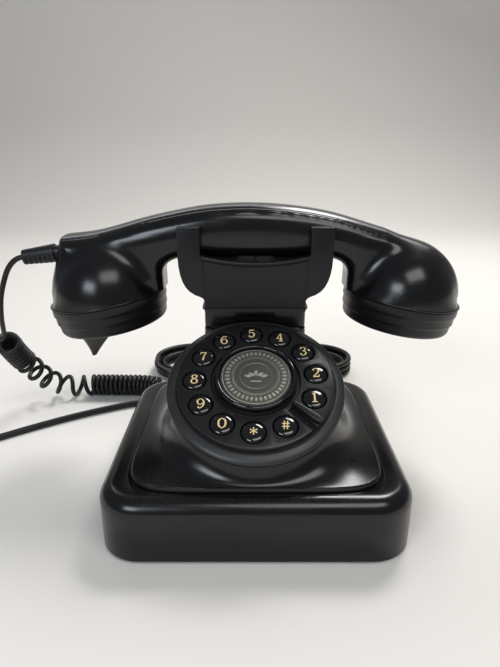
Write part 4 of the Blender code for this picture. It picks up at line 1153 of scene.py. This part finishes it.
def make_handset_shell():
    """Trims and beads the rims, parts the cover from the shell at the seam, and hollows the shell."""
    skin_solid = handset_skin()
    for side in (-1, 1):
        below_rim = [(0, CUP_RIM), (0.060, CUP_RIM), (0.060, -0.030), (0, -0.030)]
        combine(skin_solid, turned("rim_cut", below_rim, 64, matrix=cup_place(side)), "DIFFERENCE")
        bead = [(CUP_RADIUS - 0.0002 + 0.00055 * math.cos(math.radians(a)),
                 CUP_RIM + 0.0006 + 0.00055 * math.sin(math.radians(a))) for a in range(0, 360, 30)]
        combine(skin_solid, turned("rim_bead", bead, 160, True, cup_place(side)), "UNION")
    cover = bpy.data.objects.new("handset_cover_look", skin_solid.data.copy())
    bpy.context.scene.collection.objects.link(cover)
    combine(cover, seam_tool("cover_part", SEAM_HALF_GAP, COVER_END), "INTERSECT")
    fit(even_shading(cover), GLOSS, "handset", "gloss_black", "handset_cover")

    shell = skin_solid
    shell.name = "handset_shell_look"
    combine(shell, seam_tool("shell_part", -SEAM_HALF_GAP, COVER_END + 0.0003), "DIFFERENCE")
    for side in (-1, 1):
        inner = [half - CUP_WALL for half in CUP_HALVES]
        arc = [(math.sin(math.radians(a)), math.cos(math.radians(a))) for a in range(0, 91, 10)]
        profile = [(0, inner[2])] + [(inner[0] * r, inner[2] * z) for r, z in arc[1:-1]]
        profile += [(inner[0], 0.0), (inner[0], -0.010), (0, -0.010)]
        combine(shell, turned("cup_hollow", profile, 64, matrix=cup_place(side)), "DIFFERENCE")
    for half_depth, low, high in ((0.0105, 0.1330, 0.1402), (0.0070, 0.1400, 0.165)):
        trough = block("handle_trough", (-0.050, HANDSET_Y - half_depth, low),
                       (0.050, HANDSET_Y + half_depth, high))
        combine(shell, trough, "DIFFERENCE")
    seat = rod("relief_seat", 0.0043, -0.0045, 0.012, Matrix.Translation(RELIEF_ROOT) @ RELIEF_TURN)
    combine(shell, seat, "DIFFERENCE")
    for number, x in enumerate(HANDSET_SCREWS, 1):
        at_screw = Matrix.Translation((x, HANDSET_Y, 0))
        combine(shell, rod("bore", 0.0016, 0.12, 0.142, at_screw), "DIFFERENCE")
        combine(shell, rod("sink", 0.0031, 0.12, 0.1300, at_screw), "DIFFERENCE")
        profile = [(0, 0.1322), (0.0013, 0.1322), (0.0013, 0.1297), (0.0025, 0.1297), (0.0027, 0.1295),
                   (0.0027, 0.1287), (0.0022, 0.1282), (0, 0.1282)]
        screw = turned(f"handset_screw_{number}_look", profile, 32, matrix=at_screw)
        cut_cross(screw, at_screw, 0.0015, 0.1270, 0.1288)
        fit(screw, ZINC, "handset", "screw_steel", f"handset_screw_{number}")
    fit(even_shading(shell), GLOSS, "handset", "gloss_black", "handset_shell")


make_handset_shell()


# ---------------------------------------------------------------- earpiece and mouthpiece caps
# Two satin black caps close the cups. Each steps in over three bands to a dished face. The ear
# cap's face has rings of round holes, and the other carries a small speaking horn, open at its tip.

CAP_OUTSIDE = [(0.0334, -0.0005), (0.0336, -0.0007), (0.0336, -0.0044), (0.0333, -0.0050), (0.0330, -0.0056),
               (0.0328, -0.0060), (0.0328, -0.0096), (0.0325, -0.0102), (0.0321, -0.0106), (0.0319, -0.0110),
               (0.0316, -0.0144), (0.0312, -0.0154), (0.0305, -0.0163), (0.0294, -0.0169), (0.0280, -0.0172),
               (0.0200, -0.01705), (0.0100, -0.0166), (0, -0.0164)]
EAR_HOLE_RADIUS = 0.0009
EAR_HOLE_SPACING = 0.0042
EAR_HOLE_CIRCLES = 4
CAP_INSIDE = [(0, -0.0142), (0.0265, -0.0152), (0.0290, -0.0132), (0.0299, -0.0100), (0.0299, -0.0006),
              (0.0302, -0.0005)]


def rings_of_holes(name, piece, circles, spacing):
    """Geometry Nodes: copies of a small piece on circles, each circle further out by the spacing."""
    tree = bpy.data.node_groups.new(name, "GeometryNodeTree")
    tree.interface.new_socket(name="Geometry", in_out="INPUT", socket_type="NodeSocketGeometry")
    step = tree.interface.new_socket(name="Spacing", in_out="INPUT", socket_type="NodeSocketFloat")
    first = tree.interface.new_socket(name="First Circle", in_out="INPUT", socket_type="NodeSocketInt")
    tree.interface.new_socket(name="Geometry", in_out="OUTPUT", socket_type="NodeSocketGeometry")
    nodes, links = tree.nodes, tree.links
    given, out = nodes.new("NodeGroupInput"), nodes.new("NodeGroupOutput")
    joined = nodes.new("GeometryNodeJoinGeometry")
    links.new(given.outputs["Geometry"], joined.inputs["Geometry"])
    for circle in range(1, circles + 1):
        places = nodes.new("GeometryNodeMeshCircle")
        for source, target in (("First Circle", "Vertices"), ("Spacing", "Radius")):
            grown = math_node(nodes, links, "MULTIPLY", given.outputs[source], circle)
            links.new(grown, places.inputs[target])
        copies = nodes.new("GeometryNodeInstanceOnPoints")
        links.new(places.outputs["Mesh"], copies.inputs["Points"])
        links.new(given.outputs["Geometry"], copies.inputs["Instance"])
        links.new(copies.outputs["Instances"], joined.inputs["Geometry"])
    real = nodes.new("GeometryNodeRealizeInstances")
    links.new(joined.outputs["Geometry"], real.inputs["Geometry"])
    painted = nodes.new("GeometryNodeSetMaterial")
    painted.inputs["Material"].default_value = SATIN
    links.new(real.outputs["Geometry"], painted.inputs["Geometry"])
    links.new(painted.outputs["Geometry"], out.inputs["Geometry"])
    array = piece.modifiers.new(name, "NODES")
    array.node_group = tree
    array[step.identifier] = spacing
    array[first.identifier] = 6
    return settle(piece)


def horn_solid(name, wall, low_t, high_t):
    """The speaking horn's outside, or its bore when the wall is taken off."""
    rings = []
    around = [Vector((math.cos(math.tau * k / 64), math.sin(math.tau * k / 64), 0)) for k in range(64)]
    for level in range(25):
        t = low_t + (high_t - low_t) * level / 24
        radius = 0.0142 * max(1 - t, 0.0) ** 1.2 + 0.0014 - wall
        middle = Vector((-0.0100 - 0.0088 * t, 0, -0.0155 - 0.0208 * t))
        rings.append([middle + radius * direction for direction in around])
    made = closed_loft(name, rings)
    made.data.transform(cup_place(-1))
    return made


def make_caps():
    """Two turned caps: holes through the ear's, and the horn joined to the mouth's and bored."""
    for side, name in ((1, "earpiece_cap"), (-1, "mouthpiece_cap")):
        cap = turned(name + "_look", CAP_OUTSIDE[::-1] + CAP_INSIDE[::-1], 128, matrix=cup_place(side))
        settle(cap, 50)
        if side > 0:
            hole = rod("hole", EAR_HOLE_RADIUS, -0.020, -0.012, sides=16)
            holes = rings_of_holes("sound_holes", hole, EAR_HOLE_CIRCLES, EAR_HOLE_SPACING)
            holes.data.transform(cup_place(side))
            combine(cap, holes, "DIFFERENCE")
        else:
            combine(cap, horn_solid("speaking_horn", 0.0, 0.0, 1.0), "UNION")
            combine(cap, horn_solid("horn_bore", 0.0009, 0.30, 1.05), "DIFFERENCE")
        settle(cap, 40)
        fit(cap, SATIN, "handset", "satin_black", name)


make_caps()


# ---------------------------------------------------------------- parts inside
# What a workshop would find: the silicone sheet and board under the keys, the main board, the
# ringer, the switch, two jacks, two steel weights and the receiver and microphone capsules.

SILICONE = finish("grey_silicone", (0.42, 0.42, 0.41), 0.5, grain_scale=1200, grain=0.02, wear=0.0, dust=0.1)
LAMINATE = finish("green_laminate", (0.020, 0.150, 0.060), 0.32, grain_scale=2200, grain=0.01, wear=0.1)
PRESSED = finish("pressed_aluminium", (0.62, 0.62, 0.60), 0.34, grain_scale=1500, grain=0.01, wear=0.0,
                 metallic=1.0)
STEEL = finish("bare_steel_weight", (0.34, 0.33, 0.32), 0.45, smudge=0.2, grain_scale=600, grain=0.04,
               wear=0.0, metallic=0.9)
INSIDE_EDGE = 0.0002
INSIDES = {
    "base": [("keypad_membrane", SILICONE, "silicone"), ("keypad_board", LAMINATE, "circuit_board"),
             ("main_board", LAMINATE, "circuit_board"), ("hook_switch", PLAIN, "plain_black"),
             ("handset_jack", PLAIN, "plain_black"), ("line_jack", PLAIN, "plain_black"),
             ("ringer_speaker", PRESSED, "capsule_metal"), ("ballast_weight", STEEL, "weight_steel")],
    "handset": [("receiver_capsule", PRESSED, "capsule_metal"),
                ("microphone_capsule", PRESSED, "capsule_metal"), ("handset_weight", STEEL, "weight_steel")],
}


def make_insides():
    for body, pieces in INSIDES.items():
        for node, material, slot in pieces:
            recut(node, material, body, slot, INSIDE_EDGE)


make_insides()


# ---------------------------------------------------------------- handset cord
# A curly cord of black vinyl: a straight lead out of the handset's relief, the helix, which hangs
# down beside the set and lies behind it, and a straight tail into the jack at the back.

VINYL = finish("satin_black_vinyl", (0.007, 0.007, 0.0075), 0.36, grain_scale=900, grain=0.01, wear=0.0,
               dust=0.2, specular=0.35)
CLEAR = finish("clear_polycarbonate", (0.80, 0.83, 0.82), 0.08, smudge=0.06, grain=0.002, wear=0.0, dust=0.1)
CLEAR.node_tree.nodes["Principled BSDF"].inputs["Transmission Weight"].default_value = 0.85
GOLD = finish("gold_plated_contact", (0.78, 0.57, 0.25), 0.22, grain=0.002, wear=0.0, dust=0.0, metallic=1.0)
HANDSET_WIRE = 0.0032
CURL_RADIUS = 0.0068
SHUT_PITCH = 0.0036
OPEN_PITCH = 0.0122
END_PITCH = 0.016
SHUT_TURNS = 9
OPEN_TURNS = 5
JACK_HEIGHT = 0.0117
JACK_PLUG_SIZE = (0.0072, 0.0232, 0.0062)
RELIEF_TIP = RELIEF_ROOT + RELIEF_TURN @ Vector((0, 0, 0.0250))
LEAD_ROUTE = [tuple(RELIEF_TIP), (-0.1382, 0.0357, 0.1246), (-0.1430, 0.0362, 0.1210),
              (-0.1478, 0.0376, 0.1142), (-0.1536, 0.0398, 0.1010), (-0.1574, 0.0435, 0.0880),
              (-0.1612, 0.0505, 0.0760)]
CURL_ROUTE = [(-0.1650, 0.0595, 0.0650), (-0.1655, 0.0720, 0.0500), (-0.1620, 0.0845, 0.0340),
              (-0.1555, 0.0965, 0.0180), (-0.1430, 0.1050, 0.0093), (-0.1250, 0.1075, 0.0087),
              (-0.1050, 0.1072, 0.0087), (-0.0860, 0.1062, 0.0087), (-0.0700, 0.1010, 0.0087)]
TAIL_ROUTE = [(-0.0610, 0.0975, 0.0092), (-0.0530, 0.0935, 0.0104), (-0.0470, 0.0885, 0.0114),
              (-0.045, 0.0841, 0.0117), (-0.045, 0.0800, 0.0117)]


def curly_line():
    """The wire's centreline: a loose turn, shut turns, five that have opened, and shut turns to the tail."""
    axis, along = even(catmull(LEAD_ROUTE + CURL_ROUTE + TAIL_ROUTE, 24), 0.00016)
    begin = along[np.argmin(np.linalg.norm(axis - CURL_ROUTE[0], axis=1))]
    end = along[np.argmin(np.linalg.norm(axis - CURL_ROUTE[-1], axis=1))]
    shut, opened = SHUT_PITCH, OPEN_PITCH
    last_shut = begin + SHUT_TURNS * shut
    last_open = last_shut + OPEN_TURNS * opened
    easing = 0.007
    pitch = np.interp(along, [begin, begin + easing, last_shut - shut, last_shut + shut, last_open - shut,
                              last_open + shut, end - easing, end],
                      [END_PITCH, shut, shut, opened, opened, shut, shut, END_PITCH])
    turns = np.cumsum(np.gradient(along) / pitch)
    before, rise = 0.009, 0.015
    swell = np.clip(np.minimum((along - begin + before) / rise, (end + before - along) / rise), 0, 1)
    reach = CURL_RADIUS * swell * swell * (3 - 2 * swell)
    first, second = transported(axis)
    angle = math.tau * turns[:, None]
    wire = axis + reach[:, None] * (first * np.cos(angle) + second * np.sin(angle))
    return even(wire, 0.0021)[0]


def modular_plug(name, wire_end, heading, size, latch_up, contacts, *nodes):
    """A clear plug with a sprung latch and a row of gold contacts at its nose."""
    width, length, height = size
    place = Matrix.Translation(wire_end) @ Matrix.Rotation(heading, 4, "Z")
    body = block(name + "_look", (-width / 2, -length, -height / 2), (width / 2, 0, height / 2))
    eased = body.modifiers.new("eased", "BEVEL")
    eased.width = 0.0004
    eased.segments = 2
    settle(body)
    up = 1 if latch_up else -1
    slot = block("slot", (-width * 0.36, -length * 0.92, up * height * 0.30),
                 (width * 0.36, -length * 0.12, up * height))
    combine(body, slot, "DIFFERENCE")
    latch = block("latch", (-width * 0.24, -length * 0.94, up * height * 0.24),
                  (width * 0.24, -length * 0.22, up * height * 0.46))
    combine(body, latch, "UNION")
    body.data.transform(place)
    fit(body, CLEAR, "base", "clear_plug", *nodes)
    row = repeated("contact_row", block("contact", (-0.00014, -0.0024, -0.0010), (0.00014, 0.0024, 0.0010)),
                   contacts, 0.00102, GOLD)
    row.name = name + "_contacts"
    row.data.transform(place @ Matrix.Translation((0, -length + 0.0034, -up * (height / 2 - 0.0009))))
    fit(row, GOLD, "base", "clear_plug")
    return body, row


def repeated(name, piece, count, spacing, material):
    """Geometry Nodes: so many copies of a small piece in a row along X, evenly about the middle."""
    tree = bpy.data.node_groups.new(name, "GeometryNodeTree")
    tree.interface.new_socket(name="Geometry", in_out="INPUT", socket_type="NodeSocketGeometry")
    number = tree.interface.new_socket(name="Count", in_out="INPUT", socket_type="NodeSocketInt")
    step = tree.interface.new_socket(name="Spacing", in_out="INPUT", socket_type="NodeSocketFloat")
    tree.interface.new_socket(name="Geometry", in_out="OUTPUT", socket_type="NodeSocketGeometry")
    nodes, links = tree.nodes, tree.links
    given, out = nodes.new("NodeGroupInput"), nodes.new("NodeGroupOutput")
    places = nodes.new("GeometryNodeMeshLine")
    offset = nodes.new("ShaderNodeCombineXYZ")
    links.new(given.outputs["Count"], places.inputs["Count"])
    links.new(given.outputs["Spacing"], offset.inputs["X"])
    links.new(offset.outputs["Vector"], places.inputs["Offset"])
    copies = nodes.new("GeometryNodeInstanceOnPoints")
    links.new(places.outputs["Mesh"], copies.inputs["Points"])
    links.new(given.outputs["Geometry"], copies.inputs["Instance"])
    real = nodes.new("GeometryNodeRealizeInstances")
    links.new(copies.outputs["Instances"], real.inputs["Geometry"])
    painted = nodes.new("GeometryNodeSetMaterial")
    painted.inputs["Material"].default_value = material
    links.new(real.outputs["Geometry"], painted.inputs["Geometry"])
    links.new(painted.outputs["Geometry"], out.inputs["Geometry"])
    array = piece.modifiers.new(name, "NODES")
    array.node_group = tree
    array[number.identifier] = count
    array[step.identifier] = spacing
    settle(piece)
    piece.data.transform(Matrix.Translation((-spacing * (count - 1) / 2, 0, 0)))
    return piece


def make_relief():
    """The strain relief: a soft tapered boot, straight along its top and notched into ribs below."""
    rings = []
    sides = 40
    ribs = 6
    for step in range(25):
        t = step / 24
        height = 0.0058 + 0.0190 * t
        half_top, half_low = 0.0053 - 0.0010 * t, 0.0056 - 0.0012 * t
        half_wide = 0.0049 - 0.0013 * t
        ring = []
        for k in range(sides):
            angle = math.tau * k / sides
            across, up = math.cos(angle), math.sin(angle)
            ring.append(Vector((up * (half_top if up > 0 else half_low), across * half_wide, height)))
        rings.append(ring)
    shape = [[Vector((point.x * 0.78, point.y * 0.78, -0.0036)) for point in rings[0]],
             [Vector((point.x * 0.78, point.y * 0.78, 0.0056)) for point in rings[0]]]
    last = [Vector((point.x * 0.72, point.y * 0.72, 0.0250)) for point in rings[-1]]
    boot = settle(closed_loft("handset_relief_look", shape + rings + [last]))
    notch = block("notch", (-0.0007, -0.0080, -0.0030), (0.0007, 0.0080, 0.0050))
    notches = repeated("relief_notches", notch, ribs, 0.0029, VINYL)
    along_boot = Matrix.Translation((-0.0054, 0, 0.0153)) @ Matrix.Rotation(math.radians(90), 4, "Y")
    notches.data.transform(along_boot)
    combine(boot, notches, "DIFFERENCE")
    boot.data.transform(Matrix.Translation(RELIEF_ROOT) @ RELIEF_TURN)
    return fit(boot, VINYL, "handset", "cord_vinyl", "handset_relief")


def make_handset_cord():
    line = curly_line()
    cord = settle(cable("handset_cord_look", line, HANDSET_WIRE, 10), 60)
    cord.data.materials.append(VINYL)
    boot = make_relief()
    plug, contacts = modular_plug("handset_cord_plug", (JACKS[0], BASE_REAR + 0.0120, JACK_HEIGHT), 0.0,
                                  JACK_PLUG_SIZE, False, 4, "handset_cord_plug")
    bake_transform(cord)
    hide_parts("handset_cord_lead", "handset_cord_coil", "handset_cord_tail")


make_handset_cord()


# ---------------------------------------------------------------- line cord
# A round 4.5 mm lead runs from the second jack into a hank of five turns, held at the waist by a
# rubber strap behind the set. Its free end crosses the table on the left to its own plug.

LINE_WIRE = 0.0045
HANK_HALF_LENGTH = 0.086
HANK_HALF_WIDTH = 0.029
HANK_WAIST = 0.012
HANK_Y = BASE_FRONT + 0.229
HANK_ENTRY = 0.064
HANK_EXIT = 0.099
START_ROUTE = [(-0.020, 0.0800, 0.0117), (-0.020, 0.0841, 0.0115), (-0.0165, 0.0945, 0.0075),
               (-0.0060, 0.1060, 0.0035), (0.0120, 0.1165, 0.0024), (0.0320, 0.1250, 0.0024)]
EXIT_ROUTE = [(-0.0810, 0.1395, 0.0113), (-0.0720, 0.1312, 0.0090), (-0.0600, 0.1268, 0.0050),
              (-0.0500, 0.1262, 0.0027)]
LINE_ROUTE = [(-0.0400, 0.1265, 0.0024), (-0.0330, 0.1200, 0.0024), (-0.0310, 0.1090, 0.0024),
              (-0.0360, 0.0985, 0.0024), (-0.0460, 0.0920, 0.0024), (-0.0570, 0.0895, 0.0024),
              (-0.0700, 0.0890, 0.0024), (-0.0880, 0.0885, 0.0024), (-0.1080, 0.0800, 0.0024),
              (-0.1300, 0.0680, 0.0024), (-0.1520, 0.0535, 0.0024), (-0.1750, 0.0365, 0.0024),
              (-0.1900, 0.0230, 0.0030)]
# Each turn lies in its own place in the bundle: how far in from the outline, and how high.
HANK_TURNS = [(0.0026, 0.0024), (0.0071, 0.0024), (0.0071, 0.0069), (0.0026, 0.0069), (0.0026, 0.0114)]


def hank_loop():
    """The bundle's outline from above, anticlockwise from the front, and which way is inwards."""
    shoulder = 0.6 * HANK_HALF_LENGTH
    quarter = []
    steps = 60
    for step in range(steps):
        swell = (1 - math.cos(math.pi * step / steps)) / 2
        quarter.append((shoulder * step / steps, -HANK_WAIST - (HANK_HALF_WIDTH - HANK_WAIST) * swell))
    for step in range(steps + 1):
        angle = math.radians(90) * step / steps
        x = shoulder + (HANK_HALF_LENGTH - shoulder) * math.sin(angle)
        quarter.append((x, -HANK_HALF_WIDTH * math.cos(angle)))
    right = quarter + [(x, -y) for x, y in reversed(quarter[:-1])]
    loop = np.array(right + [(-x, -y) for x, y in right[1:]])
    loop, along = even(np.hstack([loop, np.zeros((len(loop), 1))]), 0.0005)
    heading = np.gradient(loop, axis=0)
    heading /= np.linalg.norm(heading, axis=1, keepdims=True)
    inward = np.stack([-heading[:, 1], heading[:, 0], np.zeros(len(loop))], 1)
    return loop, inward, along


def hank_line():
    """Five turns, each crossing to the next place a little sooner than the one below it did."""
    loop, inward, along = hank_loop()
    around = along[-1]
    cross = 0.023
    travel = np.arange(HANK_ENTRY, len(HANK_TURNS) * around - HANK_EXIT, 0.003)
    insets = []
    heights = []
    for far in travel:
        inset, height = HANK_TURNS[0]
        for turn in range(1, len(HANK_TURNS)):
            start = turn * around + 0.008 - (turn - 1) * cross
            share = min(max((far - start) / cross, 0.0), 1.0)
            share = share * share * (3 - 2 * share)
            inset += share * (HANK_TURNS[turn][0] - HANK_TURNS[turn - 1][0])
            height += share * (HANK_TURNS[turn][1] - HANK_TURNS[turn - 1][1])
        insets.append(inset)
        heights.append(height)
    place = travel % around
    line = np.stack([np.interp(place, along, loop[:, axis]) for axis in range(3)], 1)
    inside = np.stack([np.interp(place, along, inward[:, axis]) for axis in range(3)], 1)
    line += inside * np.array(insets)[:, None]
    line += np.stack([np.zeros(len(travel)), np.full(len(travel), HANK_Y), np.array(heights)], 1)
    return line


def make_line_cord():
    hank = [tuple(point) for point in hank_line()[::3]]
    line = even(catmull(START_ROUTE + hank + EXIT_ROUTE + LINE_ROUTE, 8), 0.0026)[0]
    line = np.vstack([line[:1], (line[:-2] + 2 * line[1:-1] + line[2:]) / 4, line[-1:]])
    cord = settle(cable("line_cord_look", line, LINE_WIRE, 12), 60)
    fit(cord, VINYL, "base", "cord_vinyl", "line_cord_start", "line_cord_hank", "line_cord")
    at_jack = (JACKS[1], BASE_REAR + 0.0120, JACK_HEIGHT)
    jack_plug, jack_contacts = modular_plug("line_cord_jack_plug", at_jack, 0.0, JACK_PLUG_SIZE, False, 4,
                                            "line_cord_jack_plug")
    end_plug, end_contacts = modular_plug("line_cord_plug", (-0.19025, 0.02275, 0.0036), math.radians(-48),
                                          (0.0090, 0.0200, 0.0066), True, 6, "line_cord_plug")
    strap = recut("line_cord_tie", RUBBER, "base", "cord_vinyl", 0.0005)


make_line_cord()
